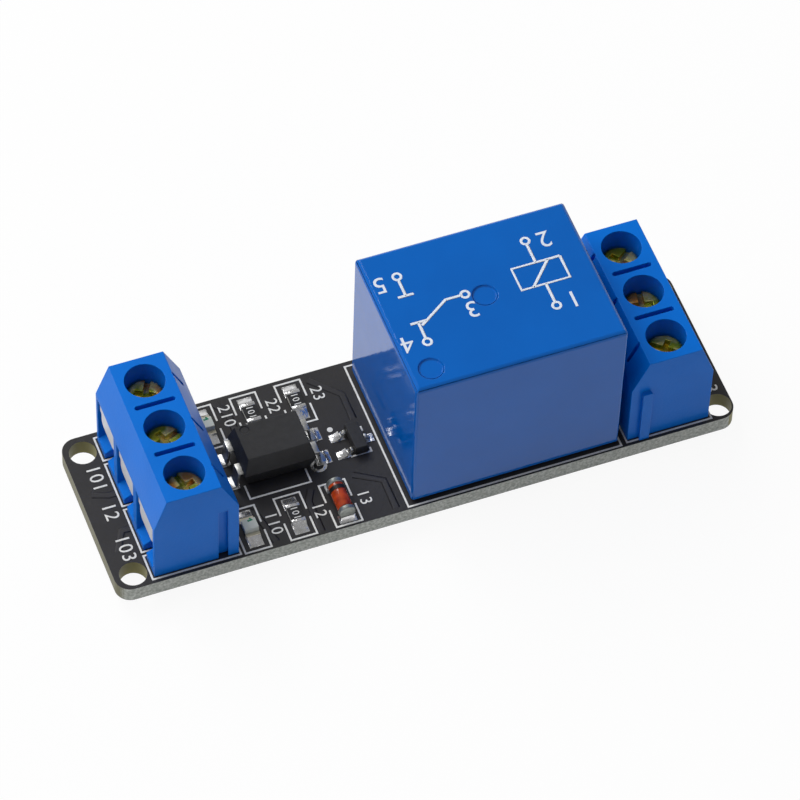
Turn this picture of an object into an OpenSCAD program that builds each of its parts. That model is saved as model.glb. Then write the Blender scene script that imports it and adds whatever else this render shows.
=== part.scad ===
// Single-channel relay module board: a circuit board with a screw terminal at
// each end, a sugar-cube relay and a small opto-isolated driver circuit.
// X runs along the board from the input terminal to the output terminal,
// Z is up, and the origin is the centre of the four mounting holes on the
// board's underside. All sizes are in millimetres.

/* [Board] */
// Width of the circuit board
board_w = 16.6; // [16.4:0.2:20]
// Thickness of the circuit board
board_t = 1.6; // [1:0.1:2.4]
// Radius of the board's corners
board_corner_r = 1.4; // [0.5:0.1:2.5]
// How far the board's centre lies from the hole pattern's centre along Y
board_shift_y = 0.1; // [-0.3:0.1:0.3]
// Diameter of the mounting holes
hole_d = 2.4; // [1.6:0.1:2.6]
// Distance of the holes from the board's input end
hole_edge_in = 1.7; // [1.4:0.05:1.8]
// Distance of the holes from the board's output end
hole_edge_out = 1.3; // [1.3:0.05:1.5]
// Distance of the input terminal from its end of the board
margin_in = 3.3; // [3:0.1:6]
// Distance of the output terminal from its end of the board
margin_out = 2.6; // [2.6:0.1:6]
// Distance of the first column of small parts from the input terminal
column_gap = 1.65; // [1.6:0.05:4]
// Room for the small parts, from their first column to the relay
parts_l = 13.9; // [13.8:0.1:20]
// Gap between the relay and the output terminal
relay_term_gap = 0.85; // [0.75:0.05:4]
// Distance between the mounting holes along Y
hole_dy = 13.4; // [12.8:0.1:13.6]

/* [Screw terminals] */
// Distance between poles
pitch = 5.08; // [5:0.02:5.16]
// Depth of a terminal from its wire side to its back
term_d = 7.55; // [7.4:0.05:7.8]
// Height of a terminal above the board
term_h = 10; // [9.6:0.1:12]
// Depth of the bevel over the wire entries
front_bevel_d = 1.2; // [0.6:0.1:1.6]
// Height of the bevel over the wire entries
front_bevel_h = 3.35; // [2.6:0.05:3.5]
// Depth of the bevel at the back
rear_bevel_d = 1.5; // [0.8:0.1:1.8]
// Height of the bevel at the back
rear_bevel_h = 3.15; // [2:0.05:3.6]
// Height at which the end faces start to lean in
taper_z = 7.05; // [4:0.05:8]
// How far each end face leans in at the top
taper_in = 0.08; // [0.02:0.02:0.2]
// Thickness of the wall between two poles
divider_t = 0.8; // [0.6:0.05:1]
// Thickness of the lip over a wire entry
lip_t = 0.3; // [0.2:0.05:0.6]
// Height of the housing's floor under a clamp
floor_t = 0.9; // [0.7:0.1:1.2]
// Depth of the sloping sill in front of a clamp
sill_d = 1.2; // [0.8:0.1:1.4]
// How far the sill drops towards the front
sill_drop = 0.75; // [0.3:0.05:0.9]
// Width of the notch in the sill
notch_w = 0.75; // [0.4:0.05:1]
// Depth of the notch in the sill
notch_d = 0.9; // [0.4:0.1:1]
// Diameter of a screw well
well_d = 3.5; // [3.4:0.05:3.7]
// Distance of the screws from the wire side
screw_x = 3.6; // [3.4:0.05:3.7]
// Length of a slot between two wells
slot_l = 3.6; // [2.4:0.1:4]
// Width of a slot between two wells
slot_w = 0.4; // [0.3:0.05:0.7]
// Depth of a slot between two wells
slot_depth = 2; // [0.5:0.1:3]
// Length of the narrow notches in the back bevel
back_notch_l = 1.05; // [0.8:0.05:1.1]
// Width of the narrow notches in the back bevel
back_notch_w = 0.4; // [0.3:0.05:0.6]
// Depth of the narrow notches, below the terminal's top
back_notch_depth = 3; // [2.4:0.1:3.4]
// Width of the rib that locks terminals together, at its root
rib_root_w = 0.7; // [0.5:0.05:0.8]
// Width of the locking rib at its face
rib_face_w = 0.95; // [0.8:0.05:1]
// How far the locking rib stands out
rib_out = 0.4; // [0.2:0.05:0.45]
// Distance of the locking rib from the wire side
rib_x = 6.15; // [6.1:0.05:6.3]
// Height of the locking rib
rib_h = 6.4; // [4:0.1:6.8]

/* [Clamps and screws] */
// Thickness of a clamp's threaded top
clamp_top_t = 1.5; // [1.2:0.1:1.8]
// Thickness of a clamp's side walls
clamp_wall = 0.5; // [0.4:0.05:0.7]
// Thickness of a clamp's floor
clamp_floor_t = 0.6; // [0.4:0.1:0.8]
// Distance of a clamp's top from the wire side
clamp_front_x = 0.2; // [0.1:0.05:0.4]
// Width of the lip that hangs from a clamp's front edge
clamp_lip_w = 3.4; // [2.6:0.1:3.6]
// Height of a clamp's front lip, from the clamp's top
clamp_lip_h = 2.85; // [1.8:0.05:3]
// Thickness of a clamp's front lip
clamp_lip_t = 0.4; // [0.3:0.05:0.5]
// Radius of the lower corners of a clamp's front lip
clamp_lip_r = 0.7; // [0.2:0.1:1]
// Gap between a clamp's front lip and the leaf
clamp_lip_fit = 0.15; // [0.1:0.05:0.25]
// Distance of a clamp's back from the wire side
clamp_rear_x = 5.3; // [5.2:0.05:5.4]
// Clearance of a clamp in its chamber
clamp_fit = 0.1; // [0.05:0.01:0.2]
// Thickness of the leaf that guards the wire
leaf_t = 0.35; // [0.25:0.05:0.45]
// Space under the leaf as drawn
wire_gap = 0.8; // [0.7:0.05:1]
// Clearance at each side of the leaf
leaf_fit = 0.15; // [0.05:0.01:0.3]
// Rise of the leaf's front lip
leaf_lip = 0.5; // [0.3:0.05:0.6]
// Diameter of a terminal screw's head
head_d = 3.2; // [2.8:0.05:3.25]
// Height of a terminal screw's head
head_h = 1.2; // [1:0.05:1.2]
// Depth of the screw heads below the terminal's top
screw_sink = 1.85; // [1.5:0.05:2]
// Diameter of a terminal screw's thread
thread_d = 2.5; // [2.2:0.05:2.6]
// Clearance between thread and clamp, on the radius
thread_fit = 0.05; // [0.02:0.01:0.1]
// Width of the slots in a screw head
drive_w = 0.5; // [0.3:0.05:0.6]
// Depth of the slots in a screw head
drive_depth = 0.6; // [0.3:0.05:0.8]
// Width of a terminal's solder pins
term_pin_w = 1; // [0.8:0.05:1.1]
// Thickness of a terminal's solder pins
term_pin_t = 0.8; // [0.6:0.05:0.9]

/* [Relay] */
// Length of the relay
relay_l = 19; // [18.8:0.1:19.2]
// Width of the relay
relay_w = 15; // [14.9:0.1:15.4]
// Height of the relay's cover
relay_h = 15.4; // [15.2:0.1:16.5]
// Place of the relay's centre along Y
relay_y = -0.2; // [-0.2:0.1:0.2]
// Gap between the cover and the board
relay_gap = 0.35; // [0.2:0.05:0.5]
// Thickness of the cover's walls
cover_t = 0.8; // [0.7:0.05:0.9]
// Width of the small chamfers along the cover's edges
cover_chamfer = 0.3; // [0.1:0.05:0.5]
// Radius of the two shallow dimples in the cover's top
dimple_r = 1.05; // [0.6:0.05:1.4]
// Depth of the dimples
dimple_depth = 0.15; // [0.05:0.05:0.3]
// Thickness of the relay's base
base_t = 1.2; // [1:0.1:1.4]
// Clearance of the base in the cover
base_fit = 0.05; // [0.02:0.01:0.1]
// Distance of the outer pins from the cover's inner end walls
pin_end_room = 1.6; // [1.5:0.05:1.8]
// Distance of the yoke's back from the cover's inner end wall
yoke_room = 0.8; // [0.75:0.05:1]
// Distance of the coil pins from the common pin along X
coil_pin_dx = 2; // [1.8:0.1:2.2]
// Distance of the outer pins from the middle along Y
relay_pin_y = 6; // [5.9:0.05:6.05]
// Width of the magnet's yoke and armature
yoke_w = 8; // [6:0.2:8.4]
// Thickness of the yoke
yoke_t = 1.2; // [0.9:0.1:1.3]
// Height of the yoke
yoke_h = 10.05; // [9.8:0.05:10.1]
// Length of the yoke's foot
yoke_foot = 10.8; // [9.6:0.1:11]
// Distance of the core from the yoke's back
core_x = 6.3; // [6.2:0.1:6.5]
// Diameter of the core
core_d = 3.6; // [3.2:0.1:3.8]
// Diameter of the core's riveted neck in the yoke
core_neck_d = 2.8; // [2:0.1:3]
// Diameter of the pole face on the core
pole_d = 5.6; // [4.5:0.1:6]
// Thickness of the pole face
pole_t = 0.6; // [0.4:0.05:0.8]
// Wall of the bobbin's tube
bobbin_wall = 0.6; // [0.4:0.05:0.7]
// Thickness of the bobbin's flanges
flange_t = 0.7; // [0.5:0.05:0.8]
// Outer diameter of the winding
winding_d = 8.4; // [6.5:0.1:8.6]
// How far the bobbin's flanges stand out past the winding
flange_out = 0.4; // [0.2:0.05:0.5]
// Width of the ears that hold the coil pins
ear_w = 2.4; // [1.6:0.1:3]
// Thickness of the armature
armature_t = 1; // [0.8:0.05:1.1]
// Angle at which the armature stands open, in degrees
open_angle = 2.2; // [1.8:0.1:2.3]
// Thickness of the contact spring
spring_t = 0.2; // [0.15:0.05:0.25]
// Width of the contact spring
spring_w = 5; // [3.6:0.2:6]
// How far the contact spring reaches down the yoke's back
spring_tail = 5; // [3:0.5:7]
// Diameter of the contacts
contact_d = 2.4; // [1.8:0.1:2.8]
// Height of the contact faces over their carriers
contact_h = 0.3; // [0.25:0.05:0.35]
// Thickness of the fixed contact strips and the flat relay pins
strip_t = 0.4; // [0.3:0.05:0.4]
// Width of the flat relay pins
strip_w = 1; // [0.8:0.1:1.2]
// Diameter of the coil pins
coil_pin_d = 0.6; // [0.5:0.05:0.8]

/* [Small parts] */
// Distance between the middles of a chip's two pads
pad_dy = 2.6; // [2.4:0.05:2.8]
// Length of a chip's pads
pad_l = 1.25; // [1.1:0.05:1.3]
// Width of a chip's pads
pad_w = 1.3; // [1.1:0.05:1.5]
// Distance of the two rows of small parts from the middle along Y
row_y = 5.65; // [5.5:0.05:5.7]
// Distance between columns of small parts
column_dx = 4.1; // [4:0.05:4.15]
// Length of a chip resistor or lamp
chip_l = 2; // [1.8:0.05:2.2]
// Width of a chip resistor or lamp
chip_w = 1.25; // [1.1:0.05:1.4]
// Height of a chip resistor
resistor_h = 0.5; // [0.4:0.05:0.7]
// Length of a chip's metal ends
cap_l = 0.35; // [0.25:0.05:0.5]
// Thickness of a chip's metal ends
cap_t = 0.05; // [0.03:0.01:0.08]
// Height of a lamp's carrier
lamp_base_h = 0.35; // [0.25:0.05:0.5]
// Height of a lamp's lens
lamp_lens_h = 0.5; // [0.3:0.05:0.7]
// Length of the glass diode
diode_l = 3.5; // [3.3:0.05:3.7]
// Diameter of the glass diode's ends
diode_d = 1.5; // [1.3:0.05:1.6]
// Length of the glass diode's metal ends
diode_cap_l = 0.5; // [0.3:0.05:0.6]
// Distance of the optocoupler's middle from the first column
opto_dx = 4.2; // [4.15:0.05:4.25]
// Place of the optocoupler along Y
opto_y = 0.6; // [0.55:0.05:0.65]
// Width of the optocoupler across its leads
opto_w = 6.5; // [6.3:0.05:6.6]
// Length of the optocoupler along its row of leads
opto_l = 4.6; // [4.4:0.05:4.7]
// Height of the optocoupler's body
opto_h = 3.5; // [3:0.05:3.8]
// Draught of the optocoupler's sides at its top and bottom
opto_draft = 0.48; // [0.2:0.02:0.6]
// Width of an optocoupler lead
opto_lead_w = 1.2; // [0.9:0.05:1.3]
// Distance between optocoupler leads
opto_lead_dy = 2.54; // [2.4:0.02:2.6]
// How far the optocoupler's leads reach out of its body
opto_reach = 1.1; // [1:0.05:1.15]
// Distance of the transistor's middle from the relay
transistor_gap = 2.2; // [2.15:0.05:2.3]
// Place of the transistor along Y
transistor_y = 0; // [-0.1:0.05:0.1]
// Thickness of the thin leads
lead_t = 0.2; // [0.12:0.02:0.25]
// Radius of the bare ring beside the optocoupler
ring_r = 0.72; // [0.6:0.02:0.75]

/* [Solder and print] */
// How far the pins stand out below the board
pin_out = 1.4; // [1:0.1:2]
// Diameter of the holes for the terminals' pins
term_drill_d = 1.5; // [1.4:0.05:1.7]
// Diameter of the holes for the relay's pins
relay_drill_d = 1.3; // [1.25:0.05:1.5]
// Width of a solder ring round a pin
ring_w = 0.45; // [0.3:0.05:0.6]
// Height of the solder below the board
solder_h = 0.9; // [0.5:0.05:1]
// Thickness of the solder pads on the board
pad_t = 0.05; // [0.03:0.01:0.08]
// Width of the printed lines
ink_w = 0.16; // [0.1:0.02:0.24]
// Thickness of the printed lines
ink_t = 0.03; // [0.02:0.01:0.05]
// Width of the printed boxes round the small parts
box_w = 2.33; // [2.2:0.02:2.5]
// Length of the printed boxes round the small parts
box_l = 4.56; // [4.5:0.02:4.7]
// Length of the gap in each long side of a printed box
box_gap = 1; // [0.4:0.1:1.6]
// Distance of the printed outlines from the terminals
outline_gap = 0.22; // [0.15:0.01:0.25]
// Distance of the printed outline from the relay
relay_ink_gap = 0.28; // [0.26:0.01:0.3]

/* [Hidden] */
$fn = 48;
eps = 0.01;

// Colours of the materials
blue_housing = [0.0, 0.36, 0.75];
blue_cover = [0.03, 0.31, 0.68];
zinc_yellow = [0.72, 0.62, 0.25];
tin = [0.78, 0.78, 0.77];
black_plastic = [0.1, 0.1, 0.11];

// Layout along the board, counted up from its input end
board_l = margin_in + term_d + column_gap + parts_l + relay_l + relay_term_gap + term_d + margin_out;
hole_dx = board_l - hole_edge_in - hole_edge_out;
board_start = -hole_dx / 2 - hole_edge_in;
input_front_x = board_start + margin_in;
column_1_x = input_front_x + term_d + column_gap;
opto_x = column_1_x + opto_dx;
relay_start = column_1_x + parts_l;
transistor_x = relay_start - transistor_gap;
relay_x = relay_start + relay_l / 2;
output_front_x = relay_start + relay_l + relay_term_gap + term_d;

// Terminal, measured from its wire side and the board's top
term_l = 3 * pitch;
chamber_w = pitch - divider_t;
chamber_top = term_h - front_bevel_h - lip_t;
sill_top = floor_t + clamp_floor_t - 0.05;
clamp_w = chamber_w - 2 * clamp_fit;
clamp_top = chamber_top - clamp_fit;
leaf_z = floor_t + clamp_floor_t + wire_gap;
leaf_w = clamp_w - 2 * clamp_wall - 2 * leaf_fit;
head_top = term_h - screw_sink;
touch = 0.02;
slot_x = screw_x + 0.05;
pin_low = -board_t - pin_out;

// Relay, measured from its centre and the board's top
base_z = relay_gap + 0.2;
base_top = base_z + base_t;
relay_pin_dx = relay_l - 2 * cover_t - 2 * pin_end_room;
common_x = -relay_pin_dx / 2;
yoke_back = -relay_l / 2 + cover_t + yoke_room;
pole_top = base_top + yoke_h;
contact_x = relay_pin_dx / 2 - 0.1;
contact_reach = contact_x - yoke_back;
cover_in_top = relay_gap + relay_h - cover_t;
moving_top = pole_top + (contact_reach + contact_d / 2) * sin(open_angle)
             + (touch + armature_t + spring_t + contact_h) * cos(open_angle);
moving_low = pole_top + touch + armature_t - contact_h;

// Small parts
column_2_x = column_1_x + column_dx;
column_3_x = column_1_x + 2 * column_dx;

// Rounded rectangle about the origin
module plate(l, w, r) {
    union() {
        square([l - 2 * r, w], center = true);
        square([l, w - 2 * r], center = true);
        for (x = [-1, 1], y = [-1, 1])
            translate([x * (l / 2 - r), y * (w / 2 - r)]) circle(r = r);
    }
}

// An outline drawn in X and Z, made w wide along Y about the origin
module across(w) {
    translate([0, w / 2, 0]) rotate([90, 0, 0]) linear_extrude(w) children();
}

// Box between two heights, centred on the origin in X and Y
module block(l, w, z0, z1) {
    translate([-l / 2, -w / 2, z0]) cube([l, w, z1 - z0]);
}

// Moves a terminal's own frame to its place: 0 is the input, 1 the output
module at_terminal(side) {
    if (side == 0) translate([input_front_x, 0, board_t]) children();
    else translate([output_front_x, 0, board_t]) rotate([0, 0, 180]) children();
}

// Moves to one pole of a terminal. Pole 1 is the one at the back of the board.
module at_pole(side, pole) {
    y = (2 - pole) * pitch * (side == 0 ? 1 : -1);
    at_terminal(side) translate([0, y, 0]) children();
}

// Moves the relay's own frame to its place
module at_relay() {
    translate([relay_x, relay_y, board_t]) children();
}

// Moves to one small part: column 1 to 3, row -1 for the front or 1 for the back
module at_chip(column, row) {
    translate([column_1_x + (column - 1) * column_dx, row * row_y, board_t]) children();
}

// Places of the terminals' and the relay's pins
module at_term_pins() {
    for (side = [0, 1], pole = [1, 2, 3])
        at_pole(side, pole) translate([screw_x, 0, 0]) children();
}

module at_strip_pins() {
    at_relay() {
        translate([common_x, 0, 0]) children();
        for (y = [-1, 1]) translate([common_x + relay_pin_dx, y * relay_pin_y, 0]) children();
    }
}

module at_coil_pins() {
    at_relay() for (y = [-1, 1])
        translate([common_x + coil_pin_dx, y * relay_pin_y, 0]) children();
}

module circuit_board() {
    color([0.12, 0.12, 0.13])
    difference() {
        translate([board_start + board_l / 2, board_shift_y, 0])
            linear_extrude(board_t) plate(board_l, board_w, board_corner_r);
        for (x = [-1, 1], y = [-1, 1])
            translate([x * hole_dx / 2, y * hole_dy / 2, -1])
                cylinder(d = hole_d, h = board_t + 2);
        at_term_pins() translate([0, 0, -board_t - 1]) cylinder(d = term_drill_d, h = board_t + 2);
        at_strip_pins() translate([0, 0, -board_t - 1]) cylinder(d = relay_drill_d, h = board_t + 2);
        at_coil_pins() translate([0, 0, -board_t - 1]) cylinder(d = relay_drill_d, h = board_t + 2);
    }
}

// One straight printed line from a to b, with square ends
module ink_line(a, b) {
    d = b - a;
    translate([a[0], a[1], 0]) rotate([0, 0, atan2(d[1], d[0])])
        translate([-ink_w / 2, -ink_w / 2]) square([norm(d) + ink_w, ink_w]);
}

// Printed frame of l by w, whose long sides along Y are open in the middle
module ink_box(w, l, gap) {
    for (x = [-1, 1], y = [-1, 1])
        ink_line([x * w / 2, y * gap / 2], [x * w / 2, y * l / 2]);
    for (y = [-1, 1]) ink_line([-w / 2, y * l / 2], [w / 2, y * l / 2]);
}

// Printed outline of a terminal, notched at each pole on the wire side
module ink_terminal() {
    half = term_l / 2 + outline_gap;
    front = -outline_gap;
    back = term_d + ink_w / 2 + touch;
    notch = 0.2;
    notch_end = notch_d - 0.05 - ink_w / 2;
    ink_line([front, -half], [back, -half]);
    ink_line([front, half], [back, half]);
    ink_line([back, -half], [back, half]);
    ends = [-half, -pitch - notch, -pitch + notch, -notch, notch, pitch - notch, pitch + notch, half];
    for (i = [0:2:6]) ink_line([front, ends[i]], [front, ends[i + 1]]);
    for (i = [1:6]) ink_line([front, ends[i]], [notch_end, ends[i]]);
}

module board_print() {
    color("white") union() {
        for (column = [1, 2, 3], row = [-1, 1])
            at_chip(column, row) linear_extrude(ink_t) ink_box(box_w, box_l, box_gap);
        for (side = [0, 1]) at_terminal(side) linear_extrude(ink_t) ink_terminal();
        translate([relay_x - 0.1, relay_y + 0.16, board_t]) linear_extrude(ink_t)
            ink_box(relay_l + 2 * relay_ink_gap, relay_w + 2 * relay_ink_gap + 0.3, 0);
        translate([opto_x - 0.35, opto_y, board_t]) linear_extrude(ink_t)
            ink_box(opto_w - 1, opto_l + 2, opto_l - 0.8);
        translate([transistor_x, transistor_y, board_t]) linear_extrude(ink_t)
            ink_box(1.8, 2.7, 2);
        translate([transistor_x - 1.7, transistor_y + 1.95, board_t])
            cylinder(r = 0.25, h = ink_t);
    }
}

// Two pads of a chip, d apart from middle to middle along Y
module chip_pads(d, w, l) {
    for (y = [-1, 1]) translate([0, y * d / 2, 0]) block(w, l, 0, pad_t);
}

module solder_pads() {
    color([0.75, 0.73, 0.66]) {
        for (column = [1, 2], row = [-1, 1]) at_chip(column, row) chip_pads(pad_dy, pad_w, pad_l);
        at_chip(3, 1) chip_pads(pad_dy, pad_w, pad_l);
        at_chip(3, -1) chip_pads(diode_l - 0.1, diode_d, 0.9);
        for (x = [-1, 1], y = [-1, 1])
            translate([opto_x + x * (opto_w / 2 + opto_reach - 0.2),
                       opto_y + y * opto_lead_dy / 2, board_t])
                block(1.4, 1.4, 0, pad_t);
        for (y = [-1, 1]) translate([transistor_x - 1.45, transistor_y + y * 0.95, board_t])
            block(1.3, 0.85, 0, pad_t);
        translate([transistor_x + 1.1, transistor_y, board_t]) block(0.9, 0.85, 0, pad_t);
        translate([column_1_x + 1.9 * column_dx, -1.32, board_t]) difference() {
            cylinder(r = ring_r, h = pad_t);
            translate([0, 0, -1]) cylinder(r = ring_r * 0.6, h = 2);
        }
    }
}

// Solder wedge that climbs from a pad's outer end to a chip's end face.
// It starts at the end face and runs along +Y.
module wedge(w, run, rise) {
    rotate([0, 0, 90]) across(w)
        polygon([[0, pad_t], [run, pad_t], [run, pad_t + 0.06], [0, rise]]);
}

module chip_wedges(l, w, run, rise) {
    for (a = [0, 180]) rotate([0, 0, a]) translate([0, l / 2 + touch, 0]) wedge(w, run, rise);
}

module chip_solder() {
    run = (pad_dy + pad_l - chip_l) / 2 - 0.06;
    color(tin) {
        for (row = [-1, 1]) {
            at_chip(1, row) chip_wedges(chip_l, chip_w - 0.1, run, 0.35);
            at_chip(2, row) chip_wedges(chip_l, chip_w - 0.05, run, 0.5);
        }
        at_chip(3, 1) chip_wedges(chip_l, chip_w - 0.05, run, 0.5);
        at_chip(3, -1) chip_wedges(diode_l, 1, 0.38, 0.6);
        for (y = [-1, 1]) translate([transistor_x - 1.23, transistor_y + y * 0.95, board_t])
            rotate([0, 0, 90]) wedge(0.6, 0.8, lead_t + pad_t + 0.05);
    }
}

// Solder in a plated hole and its cone below the board. The child is the pin.
module solder_joint(drill) {
    difference() {
        union() {
            translate([0, 0, -board_t]) cylinder(d = drill, h = board_t);
            translate([0, 0, -board_t - solder_h])
                cylinder(d1 = drill - 0.1, d2 = drill + 2 * ring_w, h = solder_h);
        }
        children();
    }
}

module pin_solder() {
    color(tin) {
        at_term_pins() solder_joint(term_drill_d)
            block(term_pin_t, term_pin_w, pin_low - 1, 1);
        at_strip_pins() solder_joint(relay_drill_d)
            block(strip_t, strip_w, pin_low - 1, 1);
        at_coil_pins() solder_joint(relay_drill_d)
            translate([0, 0, pin_low - 1]) cylinder(d = coil_pin_d, h = 20);
    }
}

// Outline of the chamber and wire entry of one pole, in X and Z
module chamber_outline() {
    polygon([[-1, sill_top - sill_drop * (1 + 1 / sill_d)], [sill_d, sill_top],
             [sill_d, floor_t], [clamp_rear_x + clamp_fit, floor_t],
             [clamp_rear_x + clamp_fit, chamber_top], [-1, chamber_top]]);
}

// Plan of the locking rib on the +Y end, and of its groove with a clearance
module rib_plan(gap) {
    polygon([[rib_x - rib_root_w / 2 - gap, -eps], [rib_x + rib_root_w / 2 + gap, -eps],
             [rib_x + rib_face_w / 2 + gap, rib_out + gap], [rib_x - rib_face_w / 2 - gap, rib_out + gap]]);
}

// A round-ended slot along X
module slot(l, w, depth) {
    block(l - w, w, -depth, 1);
    for (x = [-1, 1]) translate([x * (l - w) / 2, 0, -depth]) cylinder(d = w, h = depth + 1);
}

module terminal_housing() {
    color(blue_housing)
    difference() {
        union() {
            intersection() {
                across(term_l + 1) polygon([[0, 0], [term_d, 0], [term_d, term_h - rear_bevel_h],
                    [term_d - rear_bevel_d, term_h], [front_bevel_d, term_h],
                    [0, term_h - front_bevel_h]]);
                translate([term_d / 2, 0, 0]) rotate([0, 0, 90]) across(term_d + 1)
                    polygon([[-term_l / 2, 0], [term_l / 2, 0], [term_l / 2, taper_z],
                             [term_l / 2 - taper_in, term_h], [-term_l / 2 + taper_in, term_h],
                             [-term_l / 2, taper_z]]);
            }
            translate([0, term_l / 2, 0]) linear_extrude(rib_h) rib_plan(0);
        }
        for (y = [-pitch, 0, pitch]) translate([0, y, 0]) {
            across(chamber_w) chamber_outline();
            translate([screw_x, 0, chamber_top - 1]) cylinder(d = well_d, h = term_h);
            translate([screw_x, 0, 0]) block(term_pin_t + 0.3, term_pin_w + 0.3, -1, 2);
            translate([-1, -notch_w / 2, -1]) cube([notch_d + 1, notch_w, 3]);
            translate([term_d - rear_bevel_d + back_notch_l / 2 - 0.05, 0, term_h])
                slot(back_notch_l, back_notch_w, back_notch_depth);
        }
        for (y = [-pitch / 2, pitch / 2]) translate([slot_x, y, term_h])
            slot(slot_l, slot_w, slot_depth);
        translate([0, -term_l / 2, -1]) linear_extrude(rib_h + 1.1) rib_plan(0.06);
    }
}

module input_terminal_housing() { at_terminal(0) terminal_housing(); }
module output_terminal_housing() { at_terminal(1) terminal_housing(); }

// Plate w wide along Y, from height z0 up to z1, with rounded lower corners
module hanging_plate(w, t, z0, z1, r) {
    translate([t, 0, 0]) rotate([90, 0, -90]) linear_extrude(t) union() {
        translate([-w / 2, z0 + r]) square([w, z1 - z0 - r]);
        translate([-w / 2 + r, z0]) square([w - 2 * r, 2 * r]);
        for (y = [-1, 1]) translate([y * (w / 2 - r), z0 + r]) circle(r = r);
    }
}

// The clamp is one folded piece: threaded top with a front lip, two sides,
// floor and solder pin
module clamp() {
    color(tin) union() {
        translate([clamp_front_x, 0, 0])
            hanging_plate(clamp_lip_w, clamp_lip_t, clamp_top - clamp_lip_h, clamp_top - eps, clamp_lip_r);
        difference() {
            union() {
                translate([0, -clamp_w / 2, floor_t]) {
                    translate([clamp_front_x, 0, clamp_top - clamp_top_t - floor_t])
                        cube([clamp_rear_x - clamp_front_x, clamp_w, clamp_top_t]);
                    translate([sill_d + clamp_fit, 0, 0])
                        cube([clamp_rear_x - sill_d - clamp_fit, clamp_w, clamp_top - floor_t - eps]);
                }
                translate([screw_x, 0, 0]) block(term_pin_t, term_pin_w, pin_low, floor_t + eps);
            }
            translate([-1, -clamp_w / 2 + clamp_wall, floor_t + clamp_floor_t])
                cube([clamp_rear_x + 2, clamp_w - 2 * clamp_wall,
                      clamp_top - clamp_top_t - floor_t - clamp_floor_t]);
            translate([screw_x, 0, floor_t + clamp_floor_t + 1])
                cylinder(r = thread_d / 2 + thread_fit, h = term_h);
        }
    }
}

module input_clamp_1() { at_pole(0, 1) clamp(); }
module input_clamp_2() { at_pole(0, 2) clamp(); }
module input_clamp_3() { at_pole(0, 3) clamp(); }
module output_clamp_1() { at_pole(1, 1) clamp(); }
module output_clamp_2() { at_pole(1, 2) clamp(); }
module output_clamp_3() { at_pole(1, 3) clamp(); }

// The leaf between screw and wire, with its front lip bent up
module wire_leaf() {
    bend_x = sill_d + clamp_fit + 0.2;
    lip_x = clamp_front_x + clamp_lip_t + clamp_lip_fit;
    color([0.8, 0.8, 0.8]) translate([0, 0, leaf_z]) across(leaf_w)
        polygon([[bend_x, 0], [clamp_rear_x - 0.3, 0], [clamp_rear_x - 0.3, leaf_t],
                 [bend_x, leaf_t], [lip_x, leaf_lip + leaf_t], [lip_x, leaf_lip]]);
}

module input_wire_leaf_1() { at_pole(0, 1) wire_leaf(); }
module input_wire_leaf_2() { at_pole(0, 2) wire_leaf(); }
module input_wire_leaf_3() { at_pole(0, 3) wire_leaf(); }
module output_wire_leaf_1() { at_pole(1, 1) wire_leaf(); }
module output_wire_leaf_2() { at_pole(1, 2) wire_leaf(); }
module output_wire_leaf_3() { at_pole(1, 3) wire_leaf(); }

// Pan-head screw with a cross recess and one longer slot
module terminal_screw(turn) {
    tip_z = leaf_z + leaf_t + touch;
    color(zinc_yellow) translate([screw_x, 0, 0]) rotate([0, 0, turn])
    difference() {
        union() {
            translate([0, 0, head_top - head_h]) cylinder(d = head_d, h = head_h - 0.2);
            translate([0, 0, head_top - 0.2]) cylinder(d1 = head_d, d2 = head_d - 0.5, h = 0.2);
            translate([0, 0, tip_z + 0.3]) cylinder(d = thread_d, h = head_top - head_h - tip_z - 0.2);
            translate([0, 0, tip_z]) cylinder(d1 = thread_d - 0.6, d2 = thread_d, h = 0.3);
        }
        translate([0, 0, head_top]) {
            block(head_d + 1, drive_w, -drive_depth, 1);
            block(drive_w, head_d * 0.6, -drive_depth, 1);
        }
    }
}

module input_screw_1() { at_pole(0, 1) terminal_screw(62); }
module input_screw_2() { at_pole(0, 2) terminal_screw(20); }
module input_screw_3() { at_pole(0, 3) terminal_screw(105); }
module output_screw_1() { at_pole(1, 1) terminal_screw(38); }
module output_screw_2() { at_pole(1, 2) terminal_screw(80); }
module output_screw_3() { at_pole(1, 3) terminal_screw(140); }

// Outline of the cover with both top edges chamfered
module cover_outline(w) {
    polygon([[-w / 2, relay_gap], [w / 2, relay_gap],
             [w / 2, relay_gap + relay_h - cover_chamfer],
             [w / 2 - cover_chamfer, relay_gap + relay_h],
             [-w / 2 + cover_chamfer, relay_gap + relay_h],
             [-w / 2, relay_gap + relay_h - cover_chamfer]]);
}

module relay_cover() {
    color(blue_cover) at_relay()
    difference() {
        intersection() {
            across(relay_w + 1) cover_outline(relay_l);
            rotate([0, 0, 90]) across(relay_l + 1) cover_outline(relay_w);
            linear_extrude(relay_gap + relay_h + 1) plate(relay_l, relay_w, cover_chamfer);
        }
        block(relay_l - 2 * cover_t, relay_w - 2 * cover_t, -1, cover_in_top);
        for (p = [[-0.5, 0.2], [-7.5, -5.55]])
            translate([p[0], p[1], relay_gap + relay_h - dimple_depth])
                cylinder(r = dimple_r, h = 1);
    }
}

module relay_base() {
    l = relay_l - 2 * cover_t - 2 * base_fit;
    w = relay_w - 2 * cover_t - 2 * base_fit;
    color([0.09, 0.09, 0.1])
    difference() {
        at_relay() {
            block(l, w, base_z, base_top);
            for (x = [-1, 1], y = [-1, 1]) translate([x * (l / 2 - 1), y * (w / 2 - 2.6), 0])
                cylinder(d = 1.2, h = base_z + eps);
        }
        at_strip_pins() block(strip_t + 2 * touch, strip_w + 2 * touch, -1, 20);
        at_coil_pins() translate([0, 0, -1]) cylinder(d = coil_pin_d + 2 * touch, h = 20);
    }
}

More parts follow.
